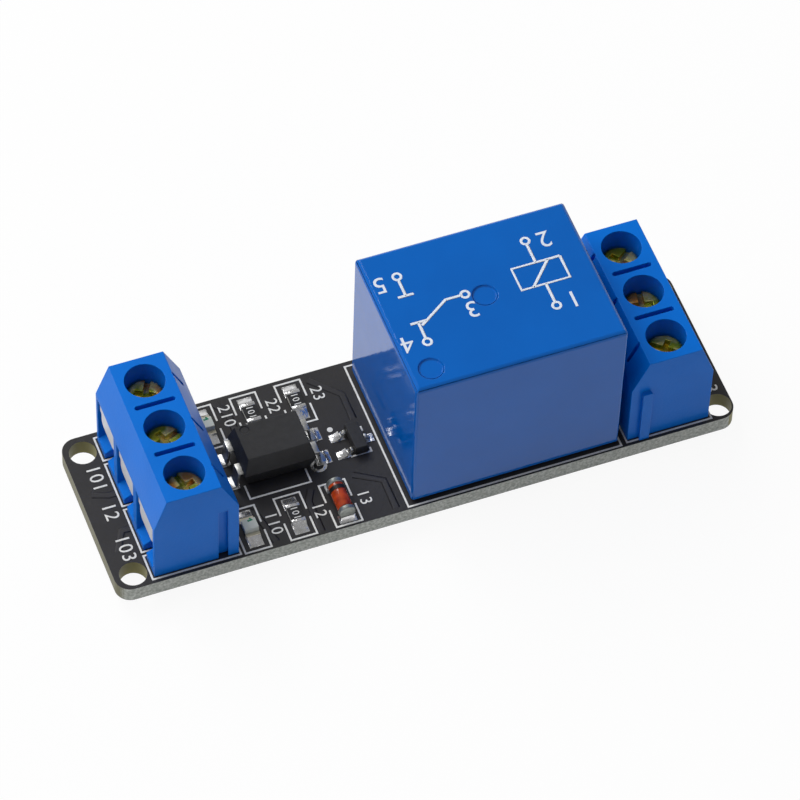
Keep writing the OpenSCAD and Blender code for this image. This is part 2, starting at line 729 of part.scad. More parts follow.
module relay_yoke() {
    color([0.72, 0.72, 0.7]) at_relay()
    difference() {
        union() {
            translate([yoke_back, -yoke_w / 2, base_top]) cube([yoke_t, yoke_w, yoke_h]);
            translate([yoke_back, -yoke_w / 2, base_top]) cube([yoke_foot, yoke_w, yoke_t]);
        }
        translate([yoke_back + core_x, 0, base_top - 1]) cylinder(d = core_neck_d, h = yoke_t + 2);
    }
}

module relay_core() {
    color([0.66, 0.66, 0.65]) at_relay() translate([yoke_back + core_x, 0, 0]) {
        translate([0, 0, base_top]) cylinder(d = core_neck_d, h = yoke_t + eps);
        translate([0, 0, base_top + yoke_t]) cylinder(d = core_d, h = yoke_h - yoke_t - pole_t + eps);
        translate([0, 0, pole_top - pole_t]) cylinder(d = pole_d, h = pole_t);
    }
}

module relay_bobbin() {
    flange_w = winding_d + 2 * flange_out;
    ear_out = relay_pin_y + coil_pin_d / 2 + 0.3;
    ear_in = yoke_w / 2;
    low = base_top + yoke_t;
    high = pole_top - pole_t;
    color([0.16, 0.16, 0.17]) at_relay() translate([yoke_back + core_x, 0, 0])
    difference() {
        union() {
            translate([0, 0, low]) cylinder(d = core_d + 2 * bobbin_wall, h = high - low);
            block(flange_w, flange_w, low, low + flange_t);
            block(flange_w, flange_w, high - flange_t, high);
            for (y = [-1, 1]) translate([common_x + coil_pin_dx - yoke_back - core_x,
                                         y * (ear_out + ear_in) / 2, low])
                block(ear_w, ear_out - ear_in, 0, flange_t);
        }
        translate([0, 0, low - 1]) cylinder(d = core_d + 2 * touch, h = high - low + 2);
        for (y = [-1, 1]) translate([common_x + coil_pin_dx - yoke_back - core_x,
                                     y * relay_pin_y, low - 1])
            cylinder(d = coil_pin_d + 2 * touch, h = 3);
    }
}

module relay_winding() {
    low = base_top + yoke_t + flange_t;
    high = pole_top - pole_t - flange_t;
    color([0.72, 0.36, 0.16]) at_relay() translate([yoke_back + core_x, 0, low])
    difference() {
        cylinder(d = winding_d, h = high - low);
        translate([0, 0, -1]) cylinder(d = core_d + 2 * bobbin_wall, h = high);
    }
}

// Everything on the armature turns about the yoke's upper back edge
module at_armature() {
    at_relay() translate([yoke_back, 0, pole_top]) rotate([0, -open_angle, 0]) children();
}

module relay_armature() {
    l = core_x + pole_d / 2 + 0.6;
    color([0.7, 0.7, 0.68]) at_armature()
        translate([touch, -yoke_w / 2, touch]) cube([l, yoke_w, armature_t]);
}

// The spring is fixed to the yoke's back, bends over its edge, lies on the
// armature and carries the moving contact on its free end
module relay_contact_spring() {
    low = armature_t + touch;
    knee = low * cos(open_angle);
    color([0.78, 0.55, 0.3])
    difference() {
        union() {
            at_relay() translate([yoke_back - 0.4 - spring_t, 0, pole_top]) across(spring_w)
                polygon([[0.4, -spring_tail], [0.4, -1], [0, 0], [0, knee], [0.3, knee + spring_t],
                         [0.55 + spring_t, knee + spring_t], [0.55 + spring_t, knee + eps],
                         [spring_t + 0.2, knee + eps], [spring_t, knee - 0.2], [spring_t, 0],
                         [0.38 + spring_t, -1], [0.38 + spring_t, -spring_tail]]);
            at_armature() translate([0, -spring_w / 2, low])
                cube([contact_reach + contact_d / 2 + 0.3, spring_w, spring_t]);
        }
        at_armature() translate([contact_reach, 0, low - 1]) cylinder(d = 1.2, h = 2);
    }
}

module relay_moving_contact() {
    low = armature_t + touch;
    color([0.85, 0.85, 0.84]) at_armature() translate([contact_reach, 0, low]) {
        translate([0, 0, -eps]) cylinder(d = 1.2, h = spring_t + 2 * eps);
        translate([0, 0, spring_t]) cylinder(d = contact_d, h = contact_h);
        translate([0, 0, -contact_h]) cylinder(d = contact_d, h = contact_h);
    }
}

// A fixed contact: pin, post, arm towards the middle, and contact face.
// The arm's underside is at z, and the face looks up (1) or down (-1).
module fixed_contact(y, z, up) {
    color([0.8, 0.78, 0.72]) at_relay() {
        translate([common_x + relay_pin_dx, y * relay_pin_y, 0]) {
            block(strip_t, strip_w, pin_low, z + strip_t);
        }
        translate([contact_x, 0, z]) {
            translate([-contact_d / 2, min(-contact_d / 2, y * (relay_pin_y + strip_w / 2)), 0])
                cube([contact_d, relay_pin_y + strip_w / 2 + contact_d / 2, strip_t]);
            if (up > 0) translate([0, 0, strip_t - eps]) cylinder(d = contact_d, h = contact_h);
            else translate([0, 0, -contact_h]) cylinder(d = contact_d, h = contact_h + eps);
        }
    }
}

module relay_upper_contact() { fixed_contact(1, moving_top + touch + contact_h, -1); }
module relay_lower_contact() { fixed_contact(-1, moving_low - touch - contact_h - strip_t, 1); }

module relay_common_pin() {
    color([0.8, 0.78, 0.72]) at_relay() translate([common_x, 0, 0])
        block(strip_t, strip_w, pin_low, base_top);
}

module relay_coil_pins() {
    top = base_top + yoke_t + flange_t + 1.2;
    color(tin) at_coil_pins() translate([0, 0, pin_low])
        cylinder(d = coil_pin_d, h = top - pin_low);
}

// Outline of the optocoupler's body: widest at half height
module opto_outline(w) {
    polygon([[-w / 2 + opto_draft, 0], [w / 2 - opto_draft, 0], [w / 2, opto_h / 2],
             [w / 2 - opto_draft, opto_h], [-w / 2 + opto_draft, opto_h], [-w / 2, opto_h / 2]]);
}

module optocoupler_body() {
    color(black_plastic) translate([opto_x, opto_y, board_t + 0.1])
    difference() {
        intersection() {
            across(opto_l + 1) opto_outline(opto_w);
            rotate([0, 0, 90]) across(opto_w + 1) opto_outline(opto_l);
        }
        translate([-opto_w / 2 + opto_draft + 0.75, opto_l / 2 - opto_draft - 0.55, opto_h - 0.08])
            cylinder(r = 0.4, h = 1);
        for (x = [-1, 1], y = [-1, 1])
            translate([x * opto_w / 2, y * opto_lead_dy / 2, opto_h / 2])
                block(1, opto_lead_w + 2 * touch, -lead_t / 2 - touch, lead_t / 2 + touch);
    }
}

// A gull-wing lead that leaves the body along +X at height z and ends on its pad
module gull_lead(reach, z, w, tail) {
    foot = pad_t + 0.01;
    knee = reach * 0.4;
    across(w) polygon([[-tail, z - lead_t / 2], [knee - lead_t, z - lead_t / 2],
        [knee, foot], [reach, foot], [reach, foot + lead_t], [knee + lead_t, foot + lead_t],
        [knee, z + lead_t / 2], [-tail, z + lead_t / 2]]);
}

module optocoupler_leads() {
    color(tin) for (a = [0, 180], y = [-1, 1])
        translate([opto_x, opto_y, board_t]) rotate([0, 0, a])
            translate([opto_w / 2, y * opto_lead_dy / 2, 0])
                gull_lead(opto_reach, 0.1 + opto_h / 2, opto_lead_w, 0.4);
}

// A chip resistor: ceramic with a dark coat, standing on its ends' thickness
module resistor_body() {
    color([0.13, 0.12, 0.12]) translate([0, 0, pad_t + 0.01 + cap_t])
        block(chip_w - 2 * cap_t, chip_l - 2 * cap_t, 0, resistor_h - 2 * cap_t);
}

module resistor_ends() {
    color(tin) translate([0, 0, pad_t + 0.01])
    difference() {
        block(chip_w, chip_l, 0, resistor_h);
        block(chip_w + 1, chip_l - 2 * cap_l, -1, 2);
        block(chip_w - 2 * cap_t, chip_l - 2 * cap_t, cap_t, resistor_h - cap_t);
    }
}

module resistor_1_body() { at_chip(2, -1) resistor_body(); }
module resistor_1_ends() { at_chip(2, -1) resistor_ends(); }
module resistor_2_body() { at_chip(2, 1) resistor_body(); }
module resistor_2_ends() { at_chip(2, 1) resistor_ends(); }
module resistor_3_body() { at_chip(3, 1) resistor_body(); }
module resistor_3_ends() { at_chip(3, 1) resistor_ends(); }

module lamp_base() {
    color([0.85, 0.86, 0.8])
        block(chip_w - 2 * cap_t, chip_l - 2 * cap_t, pad_t + 0.01 + cap_t, lamp_base_h);
}

module lamp_ends() {
    top = lamp_base_h + cap_t;
    color([0.83, 0.72, 0.42])
    difference() {
        block(chip_w, chip_l, pad_t + 0.01, top);
        block(chip_w + 1, chip_l - 2 * cap_l, -1, 2);
        block(chip_w - 2 * cap_t, chip_l - 2 * cap_t, pad_t + 0.01 + cap_t, top - cap_t);
    }
}

module lamp_lens() {
    l = chip_l - 2 * cap_l;
    color([0.85, 0.95, 0.85, 0.6]) translate([0, 0, lamp_base_h])
    intersection() {
        rotate([0, 0, 90]) across(chip_w) polygon([[-l / 2, 0], [l / 2, 0],
            [l / 2 - 0.12, lamp_lens_h], [-l / 2 + 0.12, lamp_lens_h]]);
        block(chip_w, l, 0, lamp_lens_h);
    }
}

module lamp_1_base() { at_chip(1, -1) lamp_base(); }
module lamp_1_ends() { at_chip(1, -1) lamp_ends(); }
module lamp_1_lens() { at_chip(1, -1) lamp_lens(); }
module lamp_2_base() { at_chip(1, 1) lamp_base(); }
module lamp_2_ends() { at_chip(1, 1) lamp_ends(); }
module lamp_2_lens() { at_chip(1, 1) lamp_lens(); }

// Moves to the glass diode's axis, with +Z along it from its middle
module at_diode() {
    at_chip(3, -1) translate([0, 0, diode_d / 2 + pad_t + 0.01]) rotate([-90, 0, 0]) children();
}

module diode_glass() {
    l = diode_l - 2 * diode_cap_l;
    color([0.8, 0.25, 0.05, 0.6]) at_diode()
    difference() {
        translate([0, 0, -l / 2]) cylinder(d = diode_d - 0.1, h = l);
        translate([0, 0, -0.5]) cylinder(d = 0.8, h = 1);
    }
}

module diode_ends() {
    color([0.7, 0.71, 0.68]) at_diode() for (s = [0, 180]) rotate([s, 0, 0])
        translate([0, 0, diode_l / 2 - diode_cap_l + touch])
            cylinder(d = diode_d, h = diode_cap_l - touch);
}

module diode_crystal() {
    color([0.3, 0.3, 0.32]) at_diode() translate([0, 0, -0.45]) cylinder(d = 0.7, h = 0.9);
}

module transistor_body() {
    color(black_plastic) translate([transistor_x, transistor_y, board_t + 0.06])
    intersection() {
        across(3.2) polygon([[-0.55, 0], [0.55, 0], [0.65, 0.5], [0.55, 1], [-0.55, 1], [-0.65, 0.5]]);
        rotate([0, 0, 90]) across(2)
            polygon([[-1.38, 0], [1.38, 0], [1.46, 0.5], [1.38, 1], [-1.38, 1], [-1.46, 0.5]]);
    }
}

module transistor_leads() {
    color(tin) translate([transistor_x, transistor_y, board_t]) {
        for (y = [-1, 1]) translate([-0.66, y * 0.95, 0]) rotate([0, 0, 180])
            gull_lead(0.55, 0.5, 0.42, 0);
        translate([0.66, 0, 0]) gull_lead(0.55, 0.5, 0.42, 0);
    }
}

circuit_board();
board_print();
solder_pads();
chip_solder();
pin_solder();
input_terminal_housing();
output_terminal_housing();
input_clamp_1();
input_clamp_2();
input_clamp_3();
output_clamp_1();
output_clamp_2();
output_clamp_3();
input_wire_leaf_1();
input_wire_leaf_2();
input_wire_leaf_3();
output_wire_leaf_1();
output_wire_leaf_2();
output_wire_leaf_3();
input_screw_1();
input_screw_2();
input_screw_3();
output_screw_1();
output_screw_2();
output_screw_3();
relay_cover();
relay_base();
relay_yoke();
relay_core();
relay_bobbin();
relay_winding();
relay_armature();
relay_contact_spring();
relay_moving_contact();
relay_upper_contact();
relay_lower_contact();
relay_common_pin();
relay_coil_pins();
optocoupler_body();
optocoupler_leads();
resistor_1_body();
resistor_1_ends();
resistor_2_body();
resistor_2_ends();
resistor_3_body();
resistor_3_ends();
lamp_1_base();
lamp_1_ends();
lamp_1_lens();
lamp_2_base();
lamp_2_ends();
lamp_2_lens();
diode_glass();
diode_ends();
diode_crystal();
transistor_body();
transistor_leads();
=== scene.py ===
"""Dresses the relay module board: finishes for its solids and finer pieces over them.

Every size is in millimetres until it is handed to Blender, which works in metres.
"""

import functools
import logging
import math
from collections.abc import Callable, Iterable, Sequence
from dataclasses import dataclass, field
from enum import Enum

import bpy
from mathutils import Matrix, Vector


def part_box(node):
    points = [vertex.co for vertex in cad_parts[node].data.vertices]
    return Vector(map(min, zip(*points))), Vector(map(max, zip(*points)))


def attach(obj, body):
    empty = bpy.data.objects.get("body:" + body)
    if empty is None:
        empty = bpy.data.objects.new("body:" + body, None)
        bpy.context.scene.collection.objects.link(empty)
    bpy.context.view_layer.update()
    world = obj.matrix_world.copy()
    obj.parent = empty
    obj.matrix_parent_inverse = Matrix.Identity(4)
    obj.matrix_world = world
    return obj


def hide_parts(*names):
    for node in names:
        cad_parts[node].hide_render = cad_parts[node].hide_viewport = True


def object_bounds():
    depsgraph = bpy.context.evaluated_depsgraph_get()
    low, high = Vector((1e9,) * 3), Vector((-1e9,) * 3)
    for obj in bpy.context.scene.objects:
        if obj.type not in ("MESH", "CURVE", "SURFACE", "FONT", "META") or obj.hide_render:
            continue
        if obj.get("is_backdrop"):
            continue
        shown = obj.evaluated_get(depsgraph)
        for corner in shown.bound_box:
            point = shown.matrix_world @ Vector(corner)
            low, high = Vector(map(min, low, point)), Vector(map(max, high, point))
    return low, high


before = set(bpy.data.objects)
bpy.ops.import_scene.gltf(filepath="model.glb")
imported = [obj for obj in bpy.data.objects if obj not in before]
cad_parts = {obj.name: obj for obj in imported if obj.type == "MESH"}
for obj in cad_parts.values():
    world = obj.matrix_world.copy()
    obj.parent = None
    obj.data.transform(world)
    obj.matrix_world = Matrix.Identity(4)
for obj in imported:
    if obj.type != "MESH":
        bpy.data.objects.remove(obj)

MM = 0.001
BOARD_TOP = 1.6
ROOT = "module"

log = logging.getLogger("relay_module")

Point = tuple[float, float, float]
Spot = tuple[float, float]
Socket = bpy.types.NodeSocket
Tree = bpy.types.NodeTree

# The nodes that most finishes share
MATH = "ShaderNodeMath"
MIX = "ShaderNodeMix"
MIX_SHADER = "ShaderNodeMixShader"
NOISE = "ShaderNodeTexNoise"
RANGE = "ShaderNodeMapRange"
SPLIT = "ShaderNodeSeparateXYZ"

# A Mix node for colours takes them at these two inputs and gives them at this output
COLOURS = {"data_type": "RGBA"}
FIRST, SECOND, MIXED = 6, 7, 2
GRAINY = {"Detail": 3.0, "Roughness": 0.55}
# Noise values between which a patch of colour, wear, shimmer or glass fibre fades in
COLOUR_FADE = (0.35, 0.7)
WEAR_FADE = (0.3, 0.7)
SHIMMER_FADE = (0.3, 0.7)
FLECK_FADE = (0.35, 0.65)
# Patches of wear have this share of the size of those of colour
WEAR_SIZE = 0.7
# Blender's wave texture runs through this many radians a metre at scale 1
WAVE_RATE = 20
WHITE = (1, 1, 1, 1)

# Points of a solid closer than this, in metres, are one point
MERGE_REACH = 2e-6
# Faces that turn by less than this, in degrees, are one face
FLAT_ANGLE = 0.6
SMOOTH_ANGLE = 35.0


# ---------------------------------------------------------------- small helpers


def linear(code: str) -> tuple[float, float, float, float]:
    """Turns an sRGB hex colour into Blender's linear one.

    Args:
        code: Six hex digits after a hash sign.

    Returns:
        Red, green, blue and alpha.
    """
    parts = [int(code[i : i + 2], 16) / 255 for i in (1, 3, 5)]
    red, green, blue = (
        p / 12.92 if p <= 0.04045 else ((p + 0.055) / 1.055) ** 2.4 for p in parts
    )
    return red, green, blue, 1.0


def add(
    tree: Tree,
    kind: str,
    settings: dict[int | str, object] | None = None,
    links: dict[int | str, Socket | bpy.types.Node] | None = None,
) -> bpy.types.Node:
    """Adds one node with its settings and links.

    Args:
        tree: The material's or world's node tree.
        kind: The node's type name.
        settings: Socket names or numbers, or node properties, with their values.
        links: Inputs with what feeds them, a socket or a node for its first output.

    Returns:
        The new node.
    """
    node = tree.nodes.new(kind)
    for key, value in (settings or {}).items():
        if isinstance(key, int) or key in node.inputs:
            node.inputs[key].default_value = value
        else:
            setattr(node, key, value)
    for key, fed in (links or {}).items():
        source = fed.outputs[0] if isinstance(fed, bpy.types.Node) else fed
        tree.links.new(source, node.inputs[key])
    return node


def deselect() -> None:
    """Leaves nothing selected and nothing in edit mode."""
    if bpy.context.object and bpy.context.object.mode != "OBJECT":
        bpy.ops.object.mode_set(mode="OBJECT")
    bpy.ops.object.select_all(action="DESELECT")


def only(obj: bpy.types.Object) -> bpy.types.Object:
    """Selects just this object and makes it active.

    Args:
        obj: The object.

    Returns:
        The same object.
    """
    deselect()
    obj.select_set(True)
    bpy.context.view_layer.objects.active = obj
    return obj


def in_edit_mode(obj: bpy.types.Object, *steps: Callable[[], object]) -> None:
    """Runs operators on all of an object's mesh.

    Args:
        obj: The object to edit.
        steps: Calls that each run one operator.
    """
    only(obj)
    bpy.ops.object.mode_set(mode="EDIT")
    bpy.ops.mesh.select_all(action="SELECT")
    for step in steps:
        step()
    bpy.ops.object.mode_set(mode="OBJECT")


def settle(obj: bpy.types.Object) -> bpy.types.Object:
    """Puts an object's place, turn and scale into its mesh.

    Args:
        obj: The object.

    Returns:
        The same object, now at the origin.
    """
    only(obj)
    bpy.ops.object.transform_apply(location=True, rotation=True, scale=True)
    return obj


def joined(name: str, parts: Iterable[bpy.types.Object]) -> bpy.types.Object:
    """Joins several objects into one piece.

    Args:
        name: The piece's name.
        parts: The objects to join.

    Returns:
        The piece, with its place in its mesh.
    """
    parts = list(parts)
    deselect()
    for part in parts:
        part.select_set(True)
    bpy.context.view_layer.objects.active = parts[0]
    if len(parts) > 1:
        bpy.ops.object.join()
    piece = bpy.context.object
    piece.name = piece.data.name = name
    return settle(piece)


def bevelled(
    obj: bpy.types.Object, width: float, segments: int = 2, sharp: float = 32.0
) -> None:
    """Rounds an object's sharp edges for good and smooths its shading.

    Args:
        obj: The object.
        width: Width of the rounding in millimetres.
        segments: Number of strips across it.
        sharp: Angle in degrees from which an edge is rounded.
    """
    only(obj)
    edge = obj.modifiers.new("round", "BEVEL")
    edge.width = width * MM
    edge.segments = segments
    edge.limit_method = "ANGLE"
    edge.angle_limit = math.radians(sharp)
    edge.use_clamp_overlap = False
    bpy.ops.object.modifier_apply(modifier=edge.name)
    bpy.ops.object.shade_smooth_by_angle(angle=math.radians(min(SMOOTH_ANGLE, sharp)))
    flat = obj.modifiers.new("flat_faces", "WEIGHTED_NORMAL")
    flat.keep_sharp = True
    flat.weight = 100
    bpy.ops.object.modifier_apply(modifier=flat.name)


def keep(piece: bpy.types.Object, finish: "Finish", body: str = ROOT) -> None:
    """Dresses a finished piece and lets it ride on a body.

    Args:
        piece: The piece.
        finish: What it is made of.
        body: The body that it moves with.
    """
    piece.data.materials.clear()
    piece.data.materials.append(finish.dressed())
    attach(piece, body)
    log.info("piece %s on %s in %s", piece.name, body, finish.name)


# ---------------------------------------------------------------------- finishes


@dataclass(frozen=True)
class Finish:
    """A material with patches of a second colour, uneven gloss and a fine grain."""

    name: str
    colour: str
    roughness: float
    metallic: float = 0.0
    specular: float = 0.5
    second: str = ""
    patch_mm: float = 2.0
    patch_share: float = 0.3
    gloss_change: float = 0.06
    grain_mm: float = 0.12
    grain_rise: float = 0.08
    transmission: float = 0.0

    def spots(self, tree: Tree, place: Socket, size: float, low: float, high: float) -> Socket:
        """Makes soft-edged spots from noise.

        Args:
            tree: The material's node tree.
            place: The place on the object.
            size: How far across a spot is, in millimetres.
            low: Noise below this is no spot.
            high: Noise above this is a full spot.

        Returns:
            A value from 0 to 1.
        """
        grain = {**GRAINY, "Scale": 1 / (size * MM)}
        noise = add(tree, NOISE, grain, {"Vector": place})
        limits = {"From Min": low, "From Max": high}
        return add(tree, RANGE, limits, {"Value": noise}).outputs["Result"]

    def tone(self, tree: Tree, place: Socket) -> Socket:
        """Makes the colour over the surface.

        Args:
            tree: The material's node tree.
            place: The place on the object.

        Returns:
            The colour.
        """
        spots = self.spots(tree, place, self.patch_mm, *COLOUR_FADE)
        share = add(tree, MATH, {"operation": "MULTIPLY", 1: self.patch_share}, {0: spots})
        first, second = linear(self.colour), linear(self.second or self.colour)
        tones = {**COLOURS, FIRST: first, SECOND: second}
        return add(tree, MIX, tones, {0: share}).outputs[MIXED]

    def height(self, tree: Tree, place: Socket) -> Socket:
        """Returns the height of the grain over the surface."""
        grain = {**GRAINY, "Scale": 1 / (self.grain_mm * MM)}
        return add(tree, NOISE, grain, {"Vector": place}).outputs["Fac"]

    def material(self) -> bpy.types.Material:
        """Builds the material from the values of this finish.

        Returns:
            The new material.
        """
        made = bpy.data.materials.new(self.name)
        made.use_nodes = True
        tree = made.node_tree
        tree.nodes.clear()
        place = add(tree, "ShaderNodeTexCoord").outputs["Object"]
        shader = add(
            tree,
            "ShaderNodeBsdfPrincipled",
            {
                "Metallic": self.metallic,
                "Specular IOR Level": self.specular,
                "Transmission Weight": self.transmission,
            },
        )
        tree.links.new(self.tone(tree, place), shader.inputs["Base Color"])
        wear = self.spots(tree, place, self.patch_mm * WEAR_SIZE, *WEAR_FADE)
        swing = add(tree, MATH, {"operation": "MULTIPLY", 1: self.gloss_change}, {0: wear})
        smoothest = self.roughness - self.gloss_change / 2
        gloss = add(tree, MATH, {"operation": "ADD", 1: smoothest}, {0: swing})
        tree.links.new(gloss.outputs[0], shader.inputs["Roughness"])
        if self.grain_rise:
            relief = add(
                tree,
                "ShaderNodeBump",
                {"Strength": self.grain_rise, "Distance": self.grain_mm * MM},
                {"Height": self.height(tree, place)},
            )
            tree.links.new(relief.outputs["Normal"], shader.inputs["Normal"])
        add(tree, "ShaderNodeOutputMaterial", links={"Surface": shader})
        return made

    @functools.cache
    def dressed(self) -> bpy.types.Material:
        """Returns this finish's material, built once."""
        return self.material()


@dataclass(frozen=True)
class BoardFinish(Finish):
    """Black solder mask on both faces, bare laminate at the edge and in the holes."""

    edge: str = "#959a92"
    edge_pale: str = "#c8cbc5"
    end: str = "#5d5a35"
    hole: str = "#7d772f"
    hole_x: float = 26.7
    hole_y: float = 6.7
    hole_reach: float = 1.45
    mask_t: float = 0.04
    fleck_mm: float = 0.25
    # How squarely a face looks along X to be one of the two ends
    end_from: float = 0.55
    end_full: float = 0.9

    def by_hole(self, tree: Tree, across: Socket, along: Socket) -> bpy.types.Node:
        """Tells the walls of the corner holes from the rest.

        Args:
            tree: The material's node tree.
            across: The place along X.
            along: The place along Y.

        Returns:
            A node that gives 1 close to a corner hole's axis and 0 elsewhere.
        """
        squares = []
        for axis, reach in ((across, self.hole_x), (along, self.hole_y)):
            size = add(tree, MATH, {"operation": "ABSOLUTE"}, {0: axis})
            off = add(tree, MATH, {"operation": "SUBTRACT", 1: reach * MM}, {0: size})
            squares.append(add(tree, MATH, {"operation": "MULTIPLY"}, {0: off, 1: off}))
        total = add(tree, MATH, {"operation": "ADD"}, {0: squares[0], 1: squares[1]})
        distance = add(tree, MATH, {"operation": "SQRT"}, {0: total})
        reach = {"operation": "LESS_THAN", 1: self.hole_reach * MM}
        return add(tree, MATH, reach, {0: distance})

    def laminate(self, tree: Tree, place: Socket) -> Socket:
        """Makes the colour of the cut edge.

        Args:
            tree: The material's node tree.
            place: The place on the object.

        Returns:
            The colour.
        """
        # Glass fibre shows as pale flecks about 0.2 mm long in the cut edge
        flecks = self.spots(tree, place, self.fleck_mm, *FLECK_FADE)
        tones = {**COLOURS, FIRST: linear(self.edge), SECOND: linear(self.edge_pale)}
        sides = add(tree, MIX, tones, {0: flecks}).outputs[MIXED]
        # Faces that look along Y are pale, faces that look along X are darker
        normal = add(tree, "ShaderNodeNewGeometry").outputs["True Normal"]
        facing = add(tree, SPLIT, links={"Vector": normal})
        steep = add(tree, MATH, {"operation": "ABSOLUTE"}, {0: facing})
        limits = {"From Min": self.end_from, "From Max": self.end_full}
        ended = add(tree, RANGE, limits, {"Value": steep})
        tones = {**COLOURS, SECOND: linear(self.end)}
        return add(tree, MIX, tones, {0: ended, FIRST: sides}).outputs[MIXED]

    def tone(self, tree: Tree, place: Socket) -> Socket:
        """Makes the mask's, the edge's or a hole wall's colour by place.

        Args:
            tree: The material's node tree.
            place: The place on the object.

        Returns:
            The colour.
        """
        mask = super().tone(tree, place)
        axes = add(tree, SPLIT, links={"Vector": place}).outputs
        half = BOARD_TOP / 2
        middle = add(tree, MATH, {"operation": "SUBTRACT", 1: half * MM}, {0: axes[2]})
        depth = add(tree, MATH, {"operation": "ABSOLUTE"}, {0: middle})
        inside = {"operation": "LESS_THAN", 1: (half - self.mask_t) * MM}
        side = add(tree, MATH, inside, {0: depth})
        near = self.by_hole(tree, axes[0], axes[1])
        tones = {**COLOURS, SECOND: linear(self.hole)}
        cut = self.laminate(tree, place)
        wall = add(tree, MIX, tones, {0: near, FIRST: cut}).outputs[MIXED]
        return add(tree, MIX, COLOURS, {0: side, FIRST: mask, SECOND: wall}).outputs[MIXED]


@dataclass(frozen=True)
class PassivatedFinish(Finish):
    """Zinc with a yellow passivation, which shimmers from gold to green and red."""

    bands: tuple[str, ...] = ("#9c7d1e", "#d8b534", "#93a52c", "#e9d98c", "#c98a4c", "#cfa02c")

    def tone(self, tree: Tree, place: Socket) -> Socket:
        """Makes a colour that runs through the bands from spot to spot.

        Args:
            tree: The material's node tree.
            place: The place on the object.

        Returns:
            The colour.
        """
        spots = self.spots(tree, place, self.patch_mm, *SHIMMER_FADE)
        ramp = add(tree, "ShaderNodeValToRGB", links={"Fac": spots})
        stops = ramp.color_ramp.elements
        while len(stops) < len(self.bands):
            stops.new(0.5)
        for index, band in enumerate(self.bands):
            stops[index].position = index / (len(self.bands) - 1)
            stops[index].color = linear(band)
        return ramp.outputs["Color"]


@dataclass(frozen=True)
class CoatedChipFinish(Finish):
    """White ceramic whose top carries a dark coat."""

    coat_colour: str = "#17181a"
    coat_from: float = 2.03

    def tone(self, tree: Tree, place: Socket) -> Socket:
        """Makes the coat's colour above a height and the ceramic's below it.

        Args:
            tree: The material's node tree.
            place: The place on the object.

        Returns:
            The colour.
        """
        ceramic = super().tone(tree, place)
        high = add(tree, SPLIT, links={"Vector": place}).outputs[2]
        above = {"operation": "GREATER_THAN", 1: self.coat_from * MM}
        top = add(tree, MATH, above, {0: high})
        tones = {**COLOURS, SECOND: linear(self.coat_colour)}
        return add(tree, MIX, tones, {0: top, FIRST: ceramic}).outputs[MIXED]


@dataclass(frozen=True)
class WoundFinish(Finish):
    """Enamelled wire wound in even turns, with painted shade between the turns.

    The crests stand 2 pi times `wire` apart, about 1 mm. Turns as close as those of
    the real wire would be too fine to show.
    """

    wire: float = 0.16
    unevenness: float = 0.3

    def turns(self, tree: Tree, place: Socket) -> Socket:
        """Makes a wave along Z, with one crest for each turn that is drawn.

        Args:
            tree: The material's node tree.
            place: The place on the object.

        Returns:
            A value from 0 between the turns to 1 on their crests.
        """
        scale = 1 / (self.wire * MM) / WAVE_RATE
        settings = {"bands_direction": "Z", "Scale": scale, "Distortion": self.unevenness}
        return add(tree, "ShaderNodeTexWave", settings, {"Vector": place}).outputs["Fac"]

    def tone(self, tree: Tree, place: Socket) -> Socket:
        """Returns a colour that darkens between the turns as painted shade."""
        tones = {**COLOURS, FIRST: linear(self.second), SECOND: linear(self.colour)}
        return add(tree, MIX, tones, {0: self.turns(tree, place)}).outputs[MIXED]

    def height(self, tree: Tree, place: Socket) -> Socket:
        """Returns the turns' height."""
        return self.turns(tree, place)


# Glass-epoxy laminate under a satin black solder mask, whose weave shows faintly
MASKED_BOARD = BoardFinish(
    "fr4_with_black_solder_mask", "#2b2a2b", 0.42, specular=0.35, second="#343334",
    patch_mm=6.0, patch_share=0.6, grain_mm=0.35, grain_rise=0.05,
)
# The same mask where it covers a copper track, a touch smoother and lighter
MASKED_TRACK = Finish(
    "solder_mask_over_copper", "#302f31", 0.4, specular=0.35, second="#383739", patch_mm=3.0,
    grain_rise=0.03,
)
# Screen-printed epoxy ink, matt white and a little uneven
INK = Finish(
    "white_screen_ink", "#e9e9e6", 0.6, specular=0.2, second="#b9b9b6", patch_mm=0.3,
    patch_share=0.5, grain_rise=0.05,
)
# Pad-printed ink on the smooth cover
COVER_INK = Finish(
    "white_pad_print_ink", "#e8edf6", 0.5, specular=0.2, second="#c3d2ea", patch_mm=0.6,
    patch_share=0.4, grain_rise=0.02,
)
# Injection-moulded polyamide: even satin with a soft sheen at low angles
POLYAMIDE = Finish(
    "blue_moulded_polyamide", "#0070d6", 0.38, specular=0.16, second="#0069cc", patch_mm=5.0,
    patch_share=0.6, grain_mm=0.25, grain_rise=0.05,
)
# Moulded polyester cover: glossier and a shade deeper than the terminals
COVER_PLASTIC = Finish(
    "blue_glossy_polyester", "#0063c0", 0.09, specular=0.28, second="#005cb5", patch_mm=7.0,
    patch_share=0.6, gloss_change=0.04, grain_mm=2.5, grain_rise=0.012,
)
# Bright tin plating with the dull streaks of rolled strip
TIN = Finish(
    "tin_plated_steel", "#cfcfcc", 0.32, metallic=1.0, second="#a9a8a2", patch_mm=0.5,
    patch_share=0.6, gloss_change=0.15, grain_mm=0.15, grain_rise=0.1,
)
# The clamps are plated in a barrel, which leaves their tin pale and dull
DULL_TIN = Finish(
    "barrel_plated_tin", "#dadae0", 0.5, metallic=0.35, second="#c2c2c8", patch_mm=0.6,
    patch_share=0.5, gloss_change=0.1, grain_mm=0.2, grain_rise=0.06,
)
